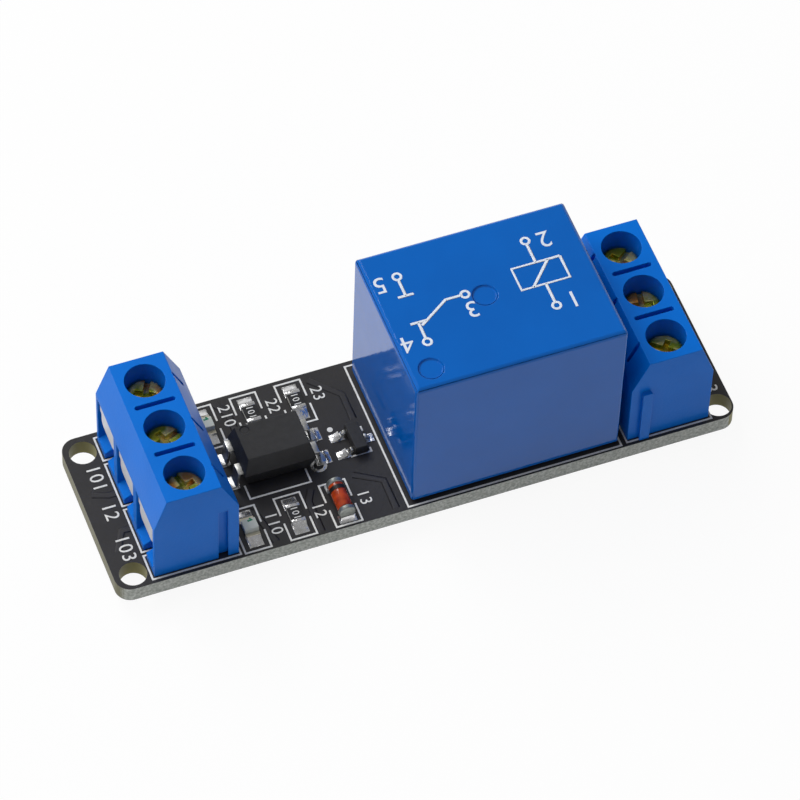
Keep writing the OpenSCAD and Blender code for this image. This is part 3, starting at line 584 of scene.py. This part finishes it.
# Solder that froze bright, with small wrinkles
SOLDER = Finish(
    "bright_tin_solder", "#e8e8ea", 0.2, metallic=0.9, second="#b9b8b2", patch_mm=0.5,
    patch_share=0.6, gloss_change=0.16, grain_mm=0.6, grain_rise=0.16,
)
# Yellow-passivated zinc on the screws
PASSIVATED = PassivatedFinish(
    "yellow_passivated_zinc", "#c9a93c", 0.2, metallic=0.82, patch_mm=3.2, gloss_change=0.14,
    grain_mm=0.3, grain_rise=0.07,
)
# Transfer-moulded resin of chips: matt, near black, with a fine sparkle
MOULDED_RESIN = Finish(
    "black_epoxy_moulding_resin", "#262627", 0.5, specular=0.4, second="#303031", patch_mm=0.6,
    patch_share=0.5, grain_mm=0.1, grain_rise=0.16,
)
# Glass-filled plastic inside the relay
BLACK_POLYESTER = Finish(
    "black_glass_filled_polyester", "#161617", 0.45, second="#232323", patch_mm=2.0,
)
# Nickel-plated soft iron of the magnet
SOFT_IRON = Finish(
    "nickel_plated_soft_iron", "#b9b7b0", 0.35, metallic=1.0, second="#9b998f", patch_mm=1.5,
    grain_mm=0.2,
)
# Rolled phosphor bronze of the contact spring
BRONZE = Finish(
    "phosphor_bronze_strip", "#c08a52", 0.3, metallic=1.0, second="#a9763f", patch_mm=1.0,
)
# Silver alloy of the contacts
SILVER = Finish(
    "silver_contact_alloy", "#dedcd6", 0.28, metallic=1.0, second="#bdbab2", patch_mm=0.6,
)
# Enamelled copper winding; its darker second colour is painted shade between the turns
WINDING = WoundFinish(
    "enamelled_copper_wire", "#b5652b", 0.3, metallic=0.6, second="#5e2d12", grain_mm=0.1,
    grain_rise=0.6,
)
# Chip resistors: white alumina with a black glaze on top
CHIP = CoatedChipFinish(
    "alumina_with_black_glaze", "#d9d7cf", 0.4, second="#c6c3b8", patch_mm=0.4,
)
# Carrier and body of the lamps
LAMP_CARRIER = Finish(
    "white_lamp_carrier", "#dedccd", 0.5, second="#cfccb6", patch_mm=0.5,
)
# Gold flash under a skin of tin on the lamps' ends
LAMP_END = Finish(
    "tinned_gold_flash", "#cfcbbc", 0.32, metallic=1.0, second="#b9ab84", patch_mm=0.4,
)
# Clear cast epoxy of the lamps, milky from its light-spreading filler
LAMP_EPOXY = Finish(
    "milky_cast_epoxy", "#e9eee6", 0.22, second="#cfd9cc", patch_mm=0.5, transmission=0.2,
    grain_rise=0.03,
)
# Green ink of the mark that shows which way round a lamp goes
GREEN_MARK = Finish(
    "green_marking_ink", "#0f8f63", 0.5, second="#0b7b54", patch_mm=0.2,
)
# Sawn semiconductor under the lens, yellowish and half metallic
LAMP_CRYSTAL = Finish(
    "lamp_crystal", "#b9a545", 0.35, metallic=0.5, second="#8d7c2b", patch_mm=0.1,
)
# Glass of the diode, stained orange by its lead content
DIODE_GLASS = Finish(
    "orange_diode_glass", "#d2501f", 0.08, second="#7c2410", patch_mm=0.8, patch_share=0.9,
    transmission=0.3, grain_rise=0.02,
)
# Tin over the sealed end caps, dulled by the heat of soldering
END_CAP = Finish(
    "heat_dulled_tin", "#a5a9a4", 0.42, metallic=0.8, second="#7e827d", patch_mm=0.5,
    patch_share=0.6, grain_mm=0.2, grain_rise=0.08,
)
# Black ink fired on the glass, a little glossy
BLACK_BAND = Finish(
    "black_band_ink", "#1a1614", 0.45, second="#2c2420", patch_mm=0.3,
)
# Polished silicon inside the diode, dark grey
CRYSTAL = Finish(
    "silicon_crystal", "#3a3a40", 0.3, metallic=0.6, second="#55555c", patch_mm=0.3,
)


# ------------------------------------------------------------- refined solids


def refined(
    node: str, width: float, segments: int = 2, sharp: float = 32.0
) -> bpy.types.Object:
    """Makes a merged copy of a solid with rounded edges that stands for it.

    Args:
        node: The solid's name.
        width: Width of the rounding in millimetres.
        segments: Number of strips across each rounding.
        sharp: Angle in degrees from which an edge is rounded.

    Returns:
        The new piece, not yet dressed.
    """
    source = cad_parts[node]
    piece = source.copy()
    piece.data = source.data.copy()
    piece.parent = None
    piece.matrix_world = Matrix()
    piece.name = piece.data.name = f"{node}_finished"
    bpy.context.collection.objects.link(piece)
    in_edit_mode(
        piece,
        lambda: bpy.ops.mesh.remove_doubles(threshold=MERGE_REACH),
        lambda: bpy.ops.mesh.dissolve_limited(angle_limit=math.radians(FLAT_ANGLE)),
    )
    bevelled(piece, width, segments, sharp)
    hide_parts(node)
    return piece


def painted(finish: Finish, *nodes: str) -> None:
    """Gives solids that keep their own mesh a better material.

    Args:
        finish: What they are made of.
        nodes: The solids' names.
    """
    for node in nodes:
        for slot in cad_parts[node].material_slots:
            slot.material = finish.dressed()
        log.info("solid %s in %s", node, finish.name)


# ----------------------------------------------------------------- lettering


class Heading(Enum):
    """Which way a line of figures runs on the board."""

    TOWARDS_FRONT = 0
    UPSIDE_DOWN = 1

    def turn(self) -> Matrix:
        """Returns the rotation that this heading stands for."""
        angle = -math.pi / 2 if self is Heading.TOWARDS_FRONT else math.pi
        return Matrix.Rotation(angle, 4, "Z")


@dataclass(frozen=True)
class Figures:
    """Plain figures printed flat on a surface."""

    text: str
    x: float
    y: float
    z: float
    height: float
    heading: Heading = Heading.TOWARDS_FRONT
    rise: float = 0.03
    # The type's size for figures of height 1, and the room between them
    type_size: float = 1.42
    spacing: float = 1.08

    def build(self) -> bpy.types.Object:
        """Builds the figures in their place.

        Returns:
            Their mesh object.
        """
        deselect()
        bpy.ops.object.text_add()
        obj = bpy.context.object
        obj.data.body = self.text
        obj.data.align_x = "CENTER"
        obj.data.align_y = "CENTER"
        obj.data.size = self.height * self.type_size * MM
        obj.data.space_character = self.spacing
        obj.data.extrude = self.rise * MM / 2
        obj.data.resolution_u = 3
        bpy.ops.object.convert(target="MESH")
        obj = bpy.context.object
        middle = Vector((self.x, self.y, self.z + self.rise / 2)) * MM
        obj.matrix_world = Matrix.Translation(middle) @ self.heading.turn()
        return settle(obj)


def stroke(
    points: Sequence[Spot], width: float, z: float, rise: float
) -> bpy.types.Object:
    """Makes a flat printed stroke or track with round corners.

    Args:
        points: Its corners in X and Y.
        width: Its width.
        z: Height of the surface that it lies on.
        rise: Its thickness.

    Returns:
        The stroke's mesh object.
    """
    deselect()
    bpy.ops.curve.primitive_nurbs_path_add()
    obj = bpy.context.object
    line = obj.data
    line.splines.clear()
    spline = line.splines.new("POLY")
    spline.points.add(len(points) - 1)
    for knot, (x, y) in zip(spline.points, points):
        knot.co = (x * MM, y * MM, 0, 1)
    line.bevel_depth = width / 2 * MM
    line.bevel_resolution = 1
    line.use_fill_caps = True
    bpy.ops.object.convert(target="MESH")
    obj = bpy.context.object
    obj.data.transform(Matrix.Diagonal((1, 1, rise / width, 1)))
    obj.data.transform(Matrix.Translation((0, 0, (z + rise / 2) * MM)))
    return obj


def ring(
    x: float, y: float, radius: float, width: float, z: float, rise: float
) -> bpy.types.Object:
    """Makes a flat printed ring.

    Args:
        x: Its middle in X.
        y: Its middle in Y.
        radius: Radius of the middle of its line.
        width: Width of its line.
        z: Height of the surface that it lies on.
        rise: Its thickness.

    Returns:
        The ring's mesh object.
    """
    deselect()
    bpy.ops.mesh.primitive_torus_add(
        major_radius=radius * MM,
        minor_radius=width / 2 * MM,
        major_segments=32,
        minor_segments=6,
    )
    obj = bpy.context.object
    obj.data.transform(Matrix.Diagonal((1, 1, rise / width, 1)))
    obj.data.transform(Matrix.Translation(Vector((x, y, z + rise / 2)) * MM))
    return obj


# --------------------------------------------------------------- sub-assemblies


@dataclass
class Board:
    """The board with its mask, tracks, print and solder."""

    column_x: tuple[float, float, float] = (-15.9, -11.8, -7.7)
    row_y: float = 5.65
    label_shift: float = 2.1
    label_h: float = 1.05
    track_rise: float = 0.012
    track_w: float = 0.7
    chip_l: float = 2.0
    chip_gap: float = 0.02
    diode_half: float = 1.77
    transistor_x: float = -4.2
    transistor_reach: float = 1.23
    transistor_y: float = 0.95
    opto_x: tuple[float, float] = (-16.09, -7.31)
    opto_y: float = 0.6
    opto_half_pitch: float = 1.27
    # Width, run over the pad and rise of the solder at each kind of part
    lamp_solder: Point = (1.22, 0.86, 0.33)
    resistor_solder: Point = (1.22, 0.86, 0.44)
    diode_solder: Point = (1.2, 0.3, 0.3)
    transistor_solder: Point = (0.8, 0.85, 0.3)
    opto_solder: Point = (1.25, 0.42, 0.22)
    solder_lift: float = 0.05
    # How a fillet narrows, curves, falls off to its sides and ends over the pad
    toe_taper: float = 0.18
    crown_curve: float = 1.9
    side_fall: float = 0.3
    toe_lift: float = 0.05
    toe_t: float = 0.01
    # What each column's label ends in, and how far the back row's label is moved
    column_labels: tuple[tuple[str, float], ...] = (("10", 0.55), ("2", 0.25), ("3", 0.25))
    label_out: float = 0.1
    # X and height of the figures at both ends, and each figure with its Y
    ends: tuple[tuple[float, float, tuple[tuple[str, float], ...]], ...] = (
        (-26.5, 1.25, (("101", 3.72), ("12", 0.0), ("103", -4.03))),
        (26.75, 1.2, (("1", 5.0), ("2", 0.0), ("3", -4.9))),
    )
    tracks: tuple[tuple[Spot, ...], ...] = (
        ((-27.2, -4.2), (-26.2, -2.2), (-25.4, -2.2)),
        ((-27.4, 2.2), (-26.0, 1.7), (-25.4, 1.7)),
        ((-17.3, 0.9), (-16.6, 0.9)),
        ((-14.4, 7.9), (-13.6, 6.4), (-13.6, 3.0)),
        ((-5.9, 7.6), (-3.6, 5.2), (-3.6, 2.4)),
        ((-5.7, -3.2), (-3.4, -4.6), (-3.4, -7.7)),
        ((-10.2, -7.9), (-10.2, -4.6), (-9.6, -3.4)),
        ((-16.9, -2.6), (-14.9, -4.2), (-14.2, -7.6)),
    )

    def dress(self) -> None:
        """Dresses the board's solids and adds what lies on it."""
        painted(MASKED_BOARD, "circuit_board")
        painted(INK, "board_print")
        painted(SOLDER, "solder_pads", "pin_solder")
        parts = [
            stroke(path, self.track_w, BOARD_TOP - self.track_rise / 2, self.track_rise)
            for path in self.tracks
        ]
        keep(joined("masked_tracks", parts), MASKED_TRACK)
        keep(joined("board_figures", self.figures()), INK)
        self.fillets()

    def figures(self) -> list[bpy.types.Object]:
        """Builds plain figures where the board carries its labels.

        Returns:
            One mesh object for each label.
        """
        made = []
        for x, (text, shift) in zip(self.column_x, self.column_labels):
            for sign, prefix in ((-1, "1"), (1, "2")):
                y = sign * (self.row_y + self.label_out) + (shift if sign > 0 else 0)
                label = Figures(prefix + text, x + self.label_shift, y, BOARD_TOP, self.label_h)
                made.append(label.build())
        for x, height, labels in self.ends:
            for text, y in labels:
                made.append(Figures(text, x, y, BOARD_TOP, height).build())
        return made

    def fillet(self, width: float, run: float, rise: float) -> bpy.types.Object:
        """Makes one concave solder fillet that runs along +Y from the origin.

        Args:
            width: Its width at the chip.
            run: How far it reaches over the pad.
            rise: How high it climbs at the chip.

        Returns:
            The fillet's mesh object.
        """
        deselect()
        bpy.ops.mesh.primitive_cube_add(size=1)
        obj = bpy.context.object
        in_edit_mode(obj, lambda: bpy.ops.mesh.subdivide(number_cuts=7))
        for vertex in obj.data.vertices:
            along, side, up = vertex.co.y + 0.5, vertex.co.x * 2, vertex.co.z + 0.5
            half = width / 2 * (1 - self.toe_taper * along**2)
            fall = 1 - self.side_fall * side**2 * along
            crown = rise * (1 - along) ** self.crown_curve * fall
            lift = self.toe_lift * (1 - side**2) * (1 - along**4)
            top = up * (crown + lift + self.toe_t)
            vertex.co = Vector((side * half, along * run, top)) * MM
        bpy.ops.object.shade_smooth_by_angle(angle=math.radians(50))
        return obj

    def fillets(self) -> None:
        """Adds the solder fillets of all chips in place of their plain wedges."""
        made = []

        def lay(x: float, y: float, turn: float, shape: Point) -> None:
            """Lays one fillet on a pad.

            Args:
                x: Where the fillet starts in X.
                y: Where it starts in Y.
                turn: How far it is turned from +Y, in degrees.
                shape: Its width, run and rise.
            """
            obj = self.fillet(*shape)
            place = Matrix.Translation(Vector((x, y, BOARD_TOP + self.solder_lift)) * MM)
            obj.matrix_world = place @ Matrix.Rotation(math.radians(turn), 4, "Z")
            made.append(settle(obj))

        for column, x in enumerate(self.column_x):
            for sign in (-1, 1):
                half = self.chip_l / 2 + self.chip_gap
                shape = self.resistor_solder if column else self.lamp_solder
                if column == 2 and sign < 0:
                    half, shape = self.diode_half, self.diode_solder
                y = sign * self.row_y
                lay(x, y + half, 0, shape)
                lay(x, y - half, 180, shape)
        for y in (-self.transistor_y, self.transistor_y):
            x = self.transistor_x - self.transistor_reach
            lay(x, y, 90, self.transistor_solder)
        for x, turn in zip(self.opto_x, (90, -90)):
            for sign in (-1, 1):
                y = self.opto_y + sign * self.opto_half_pitch
                lay(x, y, turn, self.opto_solder)
        piece = joined("chip_solder_fillets", made)
        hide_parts("chip_solder")
        keep(piece, SOLDER)


@dataclass
class Terminal:
    """One screw terminal with its clamps, leaves and screws."""

    side: str
    edge_round: float = 0.06
    metal_round: float = 0.05
    screw_round: float = 0.05

    def dress(self) -> None:
        """Dresses the terminal's pieces."""
        housing = refined(f"{self.side}_terminal_housing", self.edge_round)
        keep(housing, POLYAMIDE)
        for pole in (1, 2, 3):
            screw = refined(f"{self.side}_screw_{pole}", self.screw_round)
            keep(screw, PASSIVATED, f"{self.side}_screw_{pole}")
            clamp = refined(f"{self.side}_clamp_{pole}", self.metal_round)
            keep(clamp, DULL_TIN)
            painted(TIN, f"{self.side}_wire_leaf_{pole}")


@dataclass
class Relay:
    """The relay: its cover, the print on it and the works inside."""

    edge_round: float = 0.14
    edge_strips: int = 3
    line_w: float = 0.28
    print_rise: float = 0.03
    figure_h: float = 1.7
    centre: Spot = (5.3, 0.6)
    # The diagram's strokes, its pins and their figures, counted back from its centre
    strokes: tuple[tuple[Spot, ...], ...] = (
        ((-9.2, -1.2), (-4.8, -1.2), (-4.8, 1.2), (-9.2, 1.2), (-9.2, -1.2)),
        ((-8.1, -1.2), (-5.9, 1.2)),
        ((-7.0, 1.2), (-7.0, 3.3)),
        ((-7.0, -1.2), (-7.0, -3.3)),
        ((0.2, 0), (1.6, 0), (4.4, 1.9)),
        ((4.6, 1.5), (4.6, 3.3)),
        ((4.6, -1.5), (4.6, -3.3)),
        ((3.9, 1.5), (5.3, 1.5)),
        ((3.9, -1.5), (5.3, -1.5)),
    )
    pins: tuple[Spot, ...] = ((-7.0, 3.65), (-7.0, -3.65), (-0.15, 0), (4.6, 3.65), (4.6, -3.65))
    pin_radius: float = 0.35
    pin_line: float = 0.8
    labels: tuple[tuple[str, float, float], ...] = (
        ("1", -8.6, 3.4),
        ("2", -8.6, -3.4),
        ("3", -0.15, 1.6),
        ("4", 6.3, 3.3),
        ("5", 6.3, -3.3),
    )
    metals: dict[Finish, tuple[str, ...]] = field(
        default_factory=lambda: {
            SOFT_IRON: ("relay_yoke", "relay_core", "relay_armature"),
            WINDING: ("relay_winding",),
            BRONZE: ("relay_contact_spring",),
            SILVER: ("relay_moving_contact", "relay_upper_contact", "relay_lower_contact"),
            TIN: ("relay_common_pin", "relay_coil_pins"),
            BLACK_POLYESTER: ("relay_base", "relay_bobbin"),
        }
    )

    def dress(self) -> None:
        """Dresses the cover and the works."""
        cover = refined("relay_cover", self.edge_round, self.edge_strips)
        keep(cover, COVER_PLASTIC)
        for finish, nodes in self.metals.items():
            painted(finish, *nodes)
        keep(joined("cover_diagram", self.diagram()), COVER_INK)

    def diagram(self) -> list[bpy.types.Object]:
        """Builds a plain wiring diagram: coil, changeover contact and pin figures.

        Returns:
            One mesh object for each stroke, pin and figure.
        """
        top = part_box("relay_cover")[1].z / MM
        cx, cy = self.centre
        made = []
        for points in self.strokes:
            path = [(cx - x, cy - y) for x, y in points]
            made.append(stroke(path, self.line_w, top, self.print_rise))
        width = self.line_w * self.pin_line
        for x, y in self.pins:
            made.append(ring(cx - x, cy - y, self.pin_radius, width, top, self.print_rise))
        for text, x, y in self.labels:
            label = Figures(text, cx - x, cy - y, top, self.figure_h, Heading.UPSIDE_DOWN)
            made.append(label.build())
        return made


@dataclass
class SmallParts:
    """The chips: optocoupler, transistor, resistors, lamps and the diode."""

    column_x: tuple[float, float, float] = (-15.9, -11.8, -7.7)
    row_y: float = 5.65
    code_h: float = 0.62
    code_rise: float = 0.01
    chip_round: float = 0.03
    opto_round: float = 0.05
    # The optocoupler's draft angles are slight, so its edges count as sharp early
    opto_sharp: float = 22.0
    opto_lead_round: float = 0.04
    transistor_round: float = 0.04
    transistor_lead_round: float = 0.03
    resistor_round: float = 0.02
    resistor_end_round: float = 0.015
    glass_round: float = 0.04
    cap_round: float = 0.12
    glass_strips: int = 3
    mark_w: float = 0.2
    mark_rise: float = 0.01
    mark: tuple[Spot, ...] = ((-0.12, 0.3), (0.3, 0.3), (0.1, 0.52))
    crystal_up: float = 0.42
    crystal_side: float = 0.3
    crystal_inset: float = 0.03
    crystal_bevel: float = 0.01
    crystal_flatness: float = 0.4
    band_w: float = 0.42
    band_in: float = 0.5
    band_t: float = 0.01

    def dress(self) -> None:
        """Dresses all small parts."""
        opto = refined("optocoupler_body", self.opto_round, sharp=self.opto_sharp)
        keep(opto, MOULDED_RESIN)
        transistor = refined("transistor_body", self.transistor_round)
        keep(transistor, MOULDED_RESIN)
        keep(refined("optocoupler_leads", self.opto_lead_round), TIN)
        keep(refined("transistor_leads", self.transistor_lead_round), TIN)
        self.resistors()
        self.lamps()
        self.diode()

    def resistors(self) -> None:
        """Dresses the resistors and prints a plain three-figure value on each."""
        codes = []
        for index, (column, sign) in enumerate(((1, -1), (1, 1), (2, 1)), start=1):
            body = refined(f"resistor_{index}_body", self.resistor_round)
            keep(body, CHIP)
            ends = refined(f"resistor_{index}_ends", self.resistor_end_round)
            keep(ends, SOLDER)
            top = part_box(f"resistor_{index}_body")[1].z / MM
            x, y = self.column_x[column], sign * self.row_y
            code = Figures("101", x, y, top, self.code_h, rise=self.code_rise)
            codes.append(code.build())
        keep(joined("resistor_figures", codes), INK)

    def lamps(self) -> None:
        """Dresses the lamps and adds their marks and crystals."""
        marks, crystals = [], []
        for index, sign in ((1, -1), (2, 1)):
            painted(LAMP_CARRIER, f"lamp_{index}_base")
            painted(LAMP_END, f"lamp_{index}_ends")
            keep(refined(f"lamp_{index}_lens", self.chip_round), LAMP_EPOXY)
            x, y = self.column_x[0], sign * self.row_y
            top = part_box(f"lamp_{index}_lens")[1].z / MM
            path = [(x + across, y + along) for across, along in self.mark]
            marks.append(stroke(path, self.mark_w, top, self.mark_rise))
            crystals.append(self.lamp_crystal(x, y, BOARD_TOP + self.crystal_up))
        keep(joined("lamp_marks", marks), GREEN_MARK)
        keep(joined("lamp_crystals", crystals), LAMP_CRYSTAL)

    def lamp_crystal(self, x: float, y: float, z: float) -> bpy.types.Object:
        """Makes a lamp's crystal with a stepped edge.

        Args:
            x: Its middle in X.
            y: Its middle in Y.
            z: Its middle in Z.

        Returns:
            The crystal's mesh object, in its place.
        """
        deselect()
        bpy.ops.mesh.primitive_cube_add(size=self.crystal_side * MM)
        obj = bpy.context.object
        in_edit_mode(
            obj,
            lambda: bpy.ops.mesh.inset(thickness=self.crystal_inset * MM),
            lambda: bpy.ops.mesh.bevel(offset=self.crystal_bevel * MM, segments=2),
        )
        obj.data.transform(Matrix.Diagonal((1, 1, self.crystal_flatness, 1)))
        obj.data.transform(Matrix.Translation(Vector((x, y, z)) * MM))
        return obj

    def diode(self) -> None:
        """Dresses the glass diode and adds the band that marks one end."""
        glass = refined("diode_glass", self.glass_round, self.glass_strips)
        keep(glass, DIODE_GLASS)
        caps = refined("diode_ends", self.cap_round, self.glass_strips)
        keep(caps, END_CAP)
        painted(CRYSTAL, "diode_crystal")
        low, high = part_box("diode_glass")
        radius = (high.x - low.x) / 2
        deselect()
        bpy.ops.mesh.primitive_cylinder_add(
            radius=radius + self.band_t * MM,
            depth=self.band_w * MM,
            vertices=40,
            end_fill_type="NOTHING",
        )
        band = bpy.context.object
        band.name = band.data.name = "diode_band"
        turn = Matrix.Rotation(math.pi / 2, 4, "X")
        back = high.y - self.band_in * MM
        middle = Vector(((low.x + high.x) / 2, back, (low.z + high.z) / 2))
        band.data.transform(Matrix.Translation(middle) @ turn)
        only(band)
        wall = band.modifiers.new("wall", "SOLIDIFY")
        wall.thickness = self.band_t * MM
        wall.offset = 1.0
        bpy.ops.object.modifier_apply(modifier=wall.name)
        bpy.ops.object.shade_smooth_by_angle(angle=math.radians(SMOOTH_ANGLE))
        keep(band, BLACK_BAND)


# -------------------------------------------------------------------- the stage


@dataclass(frozen=True)
class Lamp:
    """A soft square lamp that looks at the object, in metres and watts."""

    name: str
    place: Point
    size: float
    power: float
    mirrored: bool = True

    def build(self) -> None:
        """Adds the lamp, which shows in shiny surfaces only where it is mirrored."""
        data = bpy.data.lights.new(self.name, "AREA")
        data.shape, data.size, data.energy = "SQUARE", self.size, self.power
        lamp = bpy.data.objects.new(self.name, data)
        bpy.context.collection.objects.link(lamp)
        lamp.location = self.place
        lamp.visible_glossy = self.mirrored
        lamp.rotation_mode = "QUATERNION"
        lamp.rotation_quaternion = (-Vector(self.place)).to_track_quat("-Z", "Y")


@dataclass
class Stage:
    """Camera, lamps, world and floor."""

    azimuth: float = -22.42
    elevation: float = 53.13
    roll: float = 2.393
    distance: float = 453.3
    shift_right: float = -0.276
    shift_up: float = 2.46
    lens: float = 236.91
    ambient: float = 0.25
    ceiling: float = 0.32
    floor_light: float = 0.93
    floor_side: float = 6
    floor_gap: float = 0.00002
    sensor: float = 36
    nearest: float = 0.01
    farthest: float = 10
    # Heights on the world's sphere between which its light for gloss fades
    fade_from: float = 0.1
    fade_to: float = 0.6
    lamps: tuple[Lamp, ...] = (
        Lamp("key_lamp", (-0.28, 0.2, 0.5), 0.5, 2.9, mirrored=False),
        Lamp("glint_lamp", (-0.1, 0.42, 0.42), 0.2, 0.7),
    )

    def build(self) -> None:
        """Builds the whole stage."""
        self.camera()
        self.world()
        self.floor()
        for lamp in self.lamps:
            lamp.build()
        bpy.context.scene.view_settings.view_transform = "Standard"

    def camera(self) -> None:
        """Places the camera at the fitted angle and distance."""
        around, above, tilt = (
            math.radians(v) for v in (self.azimuth, self.elevation, self.roll)
        )
        back = Vector(
            (
                math.sin(around) * math.cos(above),
                -math.cos(around) * math.cos(above),
                math.sin(above),
            )
        )
        right = Vector((math.cos(around), math.sin(around), 0))
        upward = back.cross(right)
        turned_right = right * math.cos(tilt) + upward * math.sin(tilt)
        turned_up = upward * math.cos(tilt) - right * math.sin(tilt)
        place = back * self.distance + right * self.shift_right + upward * self.shift_up
        place.z += BOARD_TOP
        data = bpy.data.cameras.new("camera")
        data.lens, data.sensor_width = self.lens, self.sensor
        data.clip_start, data.clip_end = self.nearest, self.farthest
        camera = bpy.data.objects.new("camera", data)
        bpy.context.collection.objects.link(camera)
        turn = Matrix((turned_right, turned_up, back)).transposed().to_4x4()
        camera.matrix_world = Matrix.Translation(place * MM) @ turn
        bpy.context.scene.camera = camera

    def world(self) -> None:
        """Lights the scene evenly, with white for the eye and a dim ceiling for gloss."""
        world = bpy.data.worlds.new("studio")
        world.use_nodes = True
        tree = world.node_tree
        tree.nodes.clear()
        path = add(tree, "ShaderNodeLightPath").outputs
        way = add(tree, "ShaderNodeTexCoord").outputs["Generated"]
        height = add(tree, SPLIT, links={"Vector": way}).outputs[2]
        fade = {"From Min": self.fade_from, "From Max": self.fade_to}
        dimming = {**fade, "To Min": 1.0, "To Max": self.ceiling}
        dim = add(tree, RANGE, dimming, {"Value": height})
        white = {"Color": WHITE, "Strength": 1.0}
        light = add(tree, "ShaderNodeBackground", {**white, "Strength": self.ambient})
        room = add(tree, "ShaderNodeBackground", white, {"Strength": dim})
        seen = add(tree, "ShaderNodeBackground", white)
        glossy, through = path["Is Glossy Ray"], path["Is Transmission Ray"]
        bounced = add(tree, MATH, {"operation": "MAXIMUM"}, {0: glossy, 1: through})
        lit = add(tree, MIX_SHADER, links={0: bounced, 1: light, 2: room})
        mix = add(tree, MIX_SHADER, links={0: path["Is Camera Ray"], 1: lit, 2: seen})
        add(tree, "ShaderNodeOutputWorld", links={"Surface": mix})
        bpy.context.scene.world = world

    def floor(self) -> None:
        """Lays a pale floor that shows near white and keeps the object's shadow."""
        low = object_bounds()[0][2]
        deselect()
        bpy.ops.mesh.primitive_plane_add(
            size=self.floor_side, location=(0, 0, low - self.floor_gap)
        )
        floor = bpy.context.object
        floor.name = "floor"
        made = bpy.data.materials.new("pale_floor")
        made.use_nodes = True
        tree = made.node_tree
        tree.nodes.clear()
        matt = add(tree, "ShaderNodeBsdfDiffuse", {"Color": linear("#f4f4f4")})
        glow = add(tree, "ShaderNodeEmission", {"Color": WHITE, "Strength": 1.0})
        bright = {"operation": "MULTIPLY", 1: self.floor_light}
        share = add(tree, MATH, bright, {0: seen_by_eye(tree)})
        mix = add(tree, MIX_SHADER, links={0: share, 1: matt, 2: glow})
        # From below the floor is clear, so that the underside can be looked at
        below = add(tree, "ShaderNodeNewGeometry").outputs["Backfacing"]
        clear = add(tree, "ShaderNodeBsdfTransparent")
        whole = add(tree, MIX_SHADER, links={0: below, 1: mix, 2: clear})
        add(tree, "ShaderNodeOutputMaterial", links={"Surface": whole})
        floor.data.materials.append(made)
        floor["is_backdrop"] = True


def seen_by_eye(tree: Tree) -> bpy.types.Node:
    """Tells the rays that reach the eye from those that only light things.

    Args:
        tree: The material's node tree.

    Returns:
        A node that gives 1 for rays from the camera, metal or glass, and 0 for others.
    """
    path = add(tree, "ShaderNodeLightPath").outputs
    direct, glossy = path["Is Camera Ray"], path["Is Glossy Ray"]
    eye = add(tree, MATH, {"operation": "MAXIMUM"}, {0: direct, 1: glossy})
    through = path["Is Transmission Ray"]
    return add(tree, MATH, {"operation": "MAXIMUM"}, {0: eye, 1: through})


def main() -> None:
    """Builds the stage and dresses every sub-assembly."""
    logging.basicConfig(level=logging.INFO, format="%(name)s: %(message)s")
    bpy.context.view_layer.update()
    Stage().build()
    for part in (Board(), Terminal("input"), Terminal("output"), Relay(), SmallParts()):
        part.dress()
        log.info("dressed %s", type(part).__name__)
    deselect()


if __name__ == "__main__":
    main()
